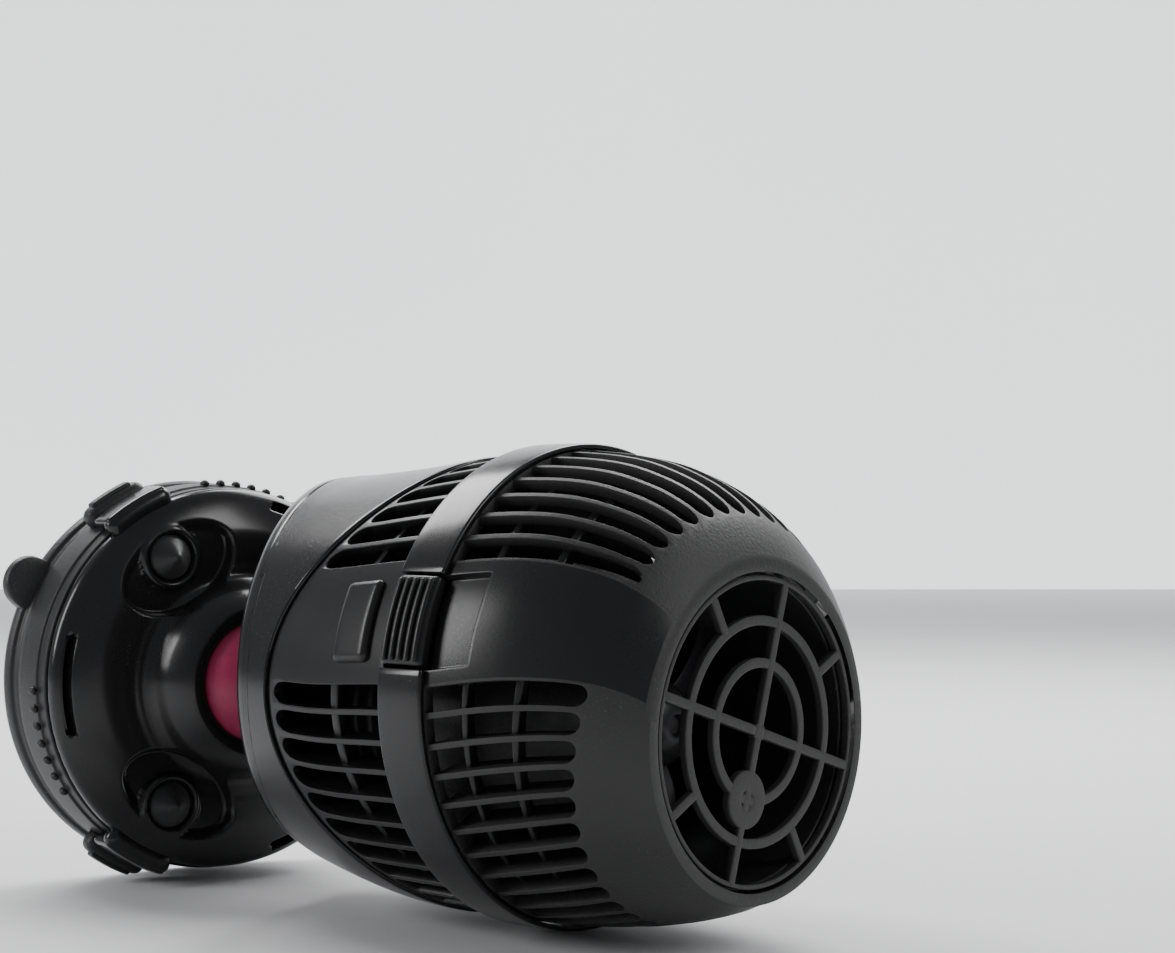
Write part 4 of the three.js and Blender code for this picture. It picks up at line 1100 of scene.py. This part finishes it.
# %% Fins that carry each slat inwards
def fin_cell(start, end, depth=3.6, steps=24):
    root, tip = CAGE_WALL - 0.3, CAGE_WALL + depth
    section = ((-0.085, root), (0.085, root), (0.065, tip), (-0.065, tip))
    return skin([[(x, u * PITCH, z) for u, z in section] for x in np.linspace(start, end, steps)])


for half, body, reach, wrap in (("front", "cover", (5.6, 36.5), front_wrap),
                                ("rear", "pump", (-26.0, -5.6), rear_wrap)):
    for group, count, middle in (("top", TOP_SLOTS, 0.0), ("low", BOTTOM_SLOTS, math.pi)):
        fins = wrapped_run(f"fins_{half}_{group}", black_satin, fin_cell(*reach), count + 1, middle, wrap)
        keep(smooth(fins, 40), body, "black_satin")

# %% [markdown]
# ## Band, latches and bumps
# A smooth band hides the joint of the two halves. It is swept in two arcs that stop at the
# latches. Each latch is a pad with five ribs that run along the band, so that a thumb does not
# slip. Behind it a long rounded bump shows where to press.

# %% Band
def on_form(block, x, around):
    """A block laid on the form: its Y goes round and its Z stands up from the surface."""
    points = np.array(block[0], float)
    lifted = form_points(points[:, 0] + x, around - np.degrees(points[:, 1] / CAGE_R), -points[:, 2])
    return lifted, block[1]


def band_arc(start, end, steps):
    """The band's section swept round the form from one angle to another."""
    half, low, high = BAND_W / 2, CAGE_R + GAP, BAND_R
    line = rounded([(0, low), (-half, low, 0.2), (-half, high, 0.55), (0, high + 0.12, 4.0),
                    (half, high, 0.55), (half, low, 0.2), (0, low)], 5)[:-1]
    inset = np.array([0.5, 0.15, 0, 0])
    stops = [start, start + 0.15, *np.linspace(start + 0.5, end - 0.5, steps), end - 0.15, end]
    rings = []
    for stop in stops:
        nip = np.interp(min(stop - start, end - stop), [0, 0.15, 0.5, 9], inset)
        a = math.radians(stop)
        rings.append([(x * (1 - nip / half), -(r - nip * (r > high - 0.7)) * math.sin(a),
                       (r - nip * (r > high - 0.7)) * math.cos(a)) for x, r in line])
    return skin(rings)


END = LATCH_HALF + 0.6
for name, start, end, steps in (("upper", END - LATCH_MID, LATCH_MID - END, 110),
                                ("lower", LATCH_MID + END, 360 - LATCH_MID - END, 170)):
    band = build(f"band_{name}_arc", in_pump(band_arc(start, end, steps)), black_gloss)
    keep(band, "pump", "black_gloss", f"band_{name}")

# %% Latch pads with ribs, and the bumps behind them
RIB_AT, RIB_STEP, RIB_SINK, BUMP_X = -3.8, 1.9, 1.25, -14.4

for side, hand in ((1, "left"), (-1, "right")):
    length = 2 * CAGE_R * math.radians(LATCH_HALF)
    plate = on_form(soft_block((LATCH_W, length, 2.6), 0.7, (12, 40, 8)), 0, side * LATCH_MID)
    pad = build(f"latch_{hand}_pad", in_pump(plate), latch_satin)
    keep(pad, f"latch_{hand}", "latch_satin", f"latch_pad_{hand}")
    rib, rib_faces = soft_block((1.15, length - 1.6, 1.5), 0.45, (8, 40, 8))
    flat = np.stack([rib[:, 0] + RIB_AT, rib[:, 1] / CAGE_R, -rib[:, 2] - RIB_SINK], 1)
    ribs = grown(f"latch_{hand}_ribs", WRAP, latch_satin,
                 {"Count": 5, "Step around": 0.0, "Step along": RIB_STEP,
                  "First around": math.radians(side * LATCH_MID)}, (flat, rib_faces))
    keep(smooth(ribs, 50), f"latch_{hand}", "latch_satin")
    hump = on_form(soft_block((9.6, 15.4, 2.8), 1.38, (16, 36, 10)), BUMP_X, side * LATCH_MID)
    keep(build(f"press_bump_{hand}", in_pump(hump), black_satin), "pump", "black_satin")

# %% [markdown]
# ## The outlet grille
# Two rings and eight spokes keep fingers and fish from the propeller. Four long spokes cross in
# the middle and four short ones stand between them, outside the outer ring. One quarter is drawn
# and a tree turns copies of it about the outlet's axis.

# %% Copies turned about an axis
def turning_tree():
    tree, size = tree_with("turned_copies", {"Count": (WHOLE, 4)})
    row = size["Count"].node("GeometryNodeMeshLine", {"Count": size["Count"], "Offset": (0, 0, 0)})
    index = row.node("GeometryNodeInputIndex")
    angle = index * (2 * math.pi) / size["Count"]
    spin = angle.vector(X=angle)
    copies = row.node("GeometryNodeInstanceOnPoints", {"Points": row, "Instance": size["Geometry"],
                                                       "Rotation": spin})
    end_tree(tree, copies, size["Finish"])
    return tree


TURN = turning_tree()


def set_in(piece):
    """Moves a piece grown about the origin to the outlet's axis."""
    yaw = Matrix.Rotation(math.radians(PUMP_YAW), 4, "Z")
    piece.data.transform(Matrix.Translation(PUMP_AT) @ yaw @ Matrix.Translation((0, 0, -OUTLET_DROP * MM)))
    return piece


def metres(body):
    return np.asarray(body[0]) * MM, body[1]


print("turning tree ready")

# %% Grille
GRILLE_X, GRILLE_T, BAR, OUTER_RING, INNER_RING, GRILLE_TURN = 43.9, 1.6, 1.8, 19.7, 12.2, -17.0
RIM_R = OUTLET_R - CAGE_WALL - 2 * GAP


def flat_ring(radius, width, thick=1.56):
    line = bar_line(thick / 2, radius - width / 2, radius + width / 2, 0.3, 0.3)
    return turned(line + (GRILLE_X, 0), 192, closed=True)


def spoke(start, end, turn, thick=GRILLE_T):
    bar = soft_block((thick, end - start, BAR), 0.32, (8, 12, 8))
    return placed(placed(bar, (GRILLE_X, (start + end) / 2, 0)), roll=turn)


arm = merged(spoke(0.7, RIM_R - 0.3, GRILLE_TURN), spoke(OUTER_RING, RIM_R - 0.3, GRILLE_TURN + 45))
spokes = set_in(grown("grille_spokes", TURN, grille_matte, {"Count": 4}, metres(arm)))
keep(smooth(spokes, 50), "cover", "grille_matte")
boss_line = rounded([(-0.85, 1.1), (-0.85, 5.2, 0.3), (0.83, 5.2, 0.45), (0.83, 1.9, 0.3), (0.3, 1.1)])
boss = placed(turned(boss_line + (GRILLE_X, 0), 96, closed=True),
              ring_at(0, INNER_RING, math.radians(GRILLE_TURN - 90)))
hub = placed(soft_block((1.66, 2.6, 2.6), 0.3, (6, 8, 8)), (GRILLE_X, 0, 0), roll=GRILLE_TURN)
rings = merged(flat_ring(OUTER_RING, BAR), flat_ring(INNER_RING, BAR), flat_ring(RIM_R - 0.45, 0.9),
               boss, hub)
grille = build("grille_rings", in_pump(rings, OUTLET_DROP), grille_matte)
keep(grille, "cover", "grille_matte", "outlet_grille")

# %% [markdown]
# ## Propeller, duct and motor
# The blades are swept and twisted: steep at the hub, flatter at the tip, as in every propeller,
# because the tip moves faster. One blade is lofted through thin wing sections, and the turning
# tree makes the rest. A flared duct leads the water in. The motor is a sealed pod behind it.

# %% Propeller
PROP_R, HUB_R = 25.0, 8.5


def blade_body(sections=26, outline_points=28):
    rings = []
    for t in np.linspace(0, 1, sections):
        radius = HUB_R - 2 + (PROP_R - HUB_R + 2) * t
        tip = math.sqrt(max(0.03, 1 - ease(np.array(t), 0.82, 1.02) ** 2 * 0.97))
        pitch = math.radians(54 - 24 * t)
        chord = (13 + 7 * math.sin(math.pi * min(1, t * 1.1)) - 2 * t) * (0.45 + 0.55 * tip)
        thick, sweep = (2.2 - 1.1 * t) * tip, 0.35 * t * t
        ring = []
        for p in full_turn(outline_points):
            c, h = -0.5 * math.cos(p), 0.55 * math.sin(p) * (1 - 0.35 * (-math.cos(p)))
            camber = 0.05 * chord * (1 - 4 * c * c)
            along = c * chord * math.sin(pitch) * 0.75 + (h * thick + camber) * math.cos(pitch)
            across = c * chord * math.cos(pitch) - (h * thick + camber) * math.sin(pitch)
            angle = across / radius + sweep + math.radians(20)
            ring.append((16 + along, radius * math.cos(angle), radius * math.sin(angle)))
        rings.append(ring)
    return skin(rings)


blades = set_in(grown("blades", TURN, propeller_plastic, {"Count": 3}, metres(blade_body())))
keep(smooth(blades, 50), "rotor", "propeller_plastic")
hub_line = rounded([(-12, 1.9), (-12, 5, 0.3), (4, 5, 0.5), (4, HUB_R, 0.6), (21.5, HUB_R, 2.2),
                    (24.6, HUB_R - 2.6, 2.0), (26, 3.2, 1.2), (26, 2.0, 0.3), (24.6, 1.6, 0.2), (24.6, 0.01)])
hub = build("propeller_hub", in_pump(turned(hub_line, 128), OUTLET_DROP), propeller_plastic)
keep(hub, "rotor", "propeller_plastic", "propeller")

# %% Duct and motor pod
duct_r = PROP_R + 1.3
bell = [(-10, 6.0), (-7, 5.9), (0, 5.2), (9, 3.4), (14, 1.2), (20, 0.0), (32, 0.0), (42.6, 0.57)]
inner_side = [(x, duct_r + r, 3 if -10 < x < 42 else 0.5) for x, r in bell]
outer_side = [(x, r + 1.5, fillet) for x, r, fillet in reversed(inner_side)]
duct_line = rounded([(-10, duct_r + 6.7), *inner_side, *outer_side])[:-1]
duct = build("duct", in_pump(turned(duct_line, 160, closed=True), OUTLET_DROP), housing_matte)
keep(duct, "cover", "housing_matte", "flow_duct")
pod_line = [(-45, 0.01), (-45, 10.3), (-8, 10.3, 0.3), (-8, 19.0, 1.2)]
for x in np.arange(-11, -47, -4.0):
    pod_line += [(x, 20.0, 0.4), (x - 1.4, 20.0, 0.3), (x - 1.7, 19.5, 0.2), (x - 3.4, 19.5, 0.2)]
pod_line += [(-48.6, 20.0, 0.4), (-50, 20.0, 0.5), (-50, 18.0), (-10.5, 18.0), (-10.5, 12.0),
             (-47, 12.0), (-47, 0.01)]
pod = build("motor_pod", in_pump(turned(rounded(pod_line), 144), OUTLET_DROP), housing_matte)
keep(pod, "pump", "housing_matte", "motor_housing")

# %% [markdown]
# ## Pieces kept from the model
# The sealed insides are plain turned shapes already, so they stay as they are and only get their
# finishes: nickelled magnets, ground steel, lacquered coils and white ceramic bushes.

# %% Finishes for the rest
INSIDES = (
    (steel_plain, "magnet_back_plate stem_nut stator_core dome_screw_1 dome_screw_2 dome_screw_3"),
    (magnet_nickel, "holder_magnet rotor_magnet"),
    (copper_coil, "stator_coil_rear stator_coil_front"),
    (ceramic_white, "rear_bush rotor_shaft front_bush"),
    (housing_matte, "motor_cap motor_bracket"))
for material, names in INSIDES:
    for name in names.split():
        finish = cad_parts[name].data.materials
        finish.clear()
        finish.append(material)
    print(material.name, "on", names)

# %% [markdown]
# ## The model's size
# The box of the model as loaded is printed.

# %% Sizes and finish
print("model", [[round(v, 4) for v in c] for c in model_box])
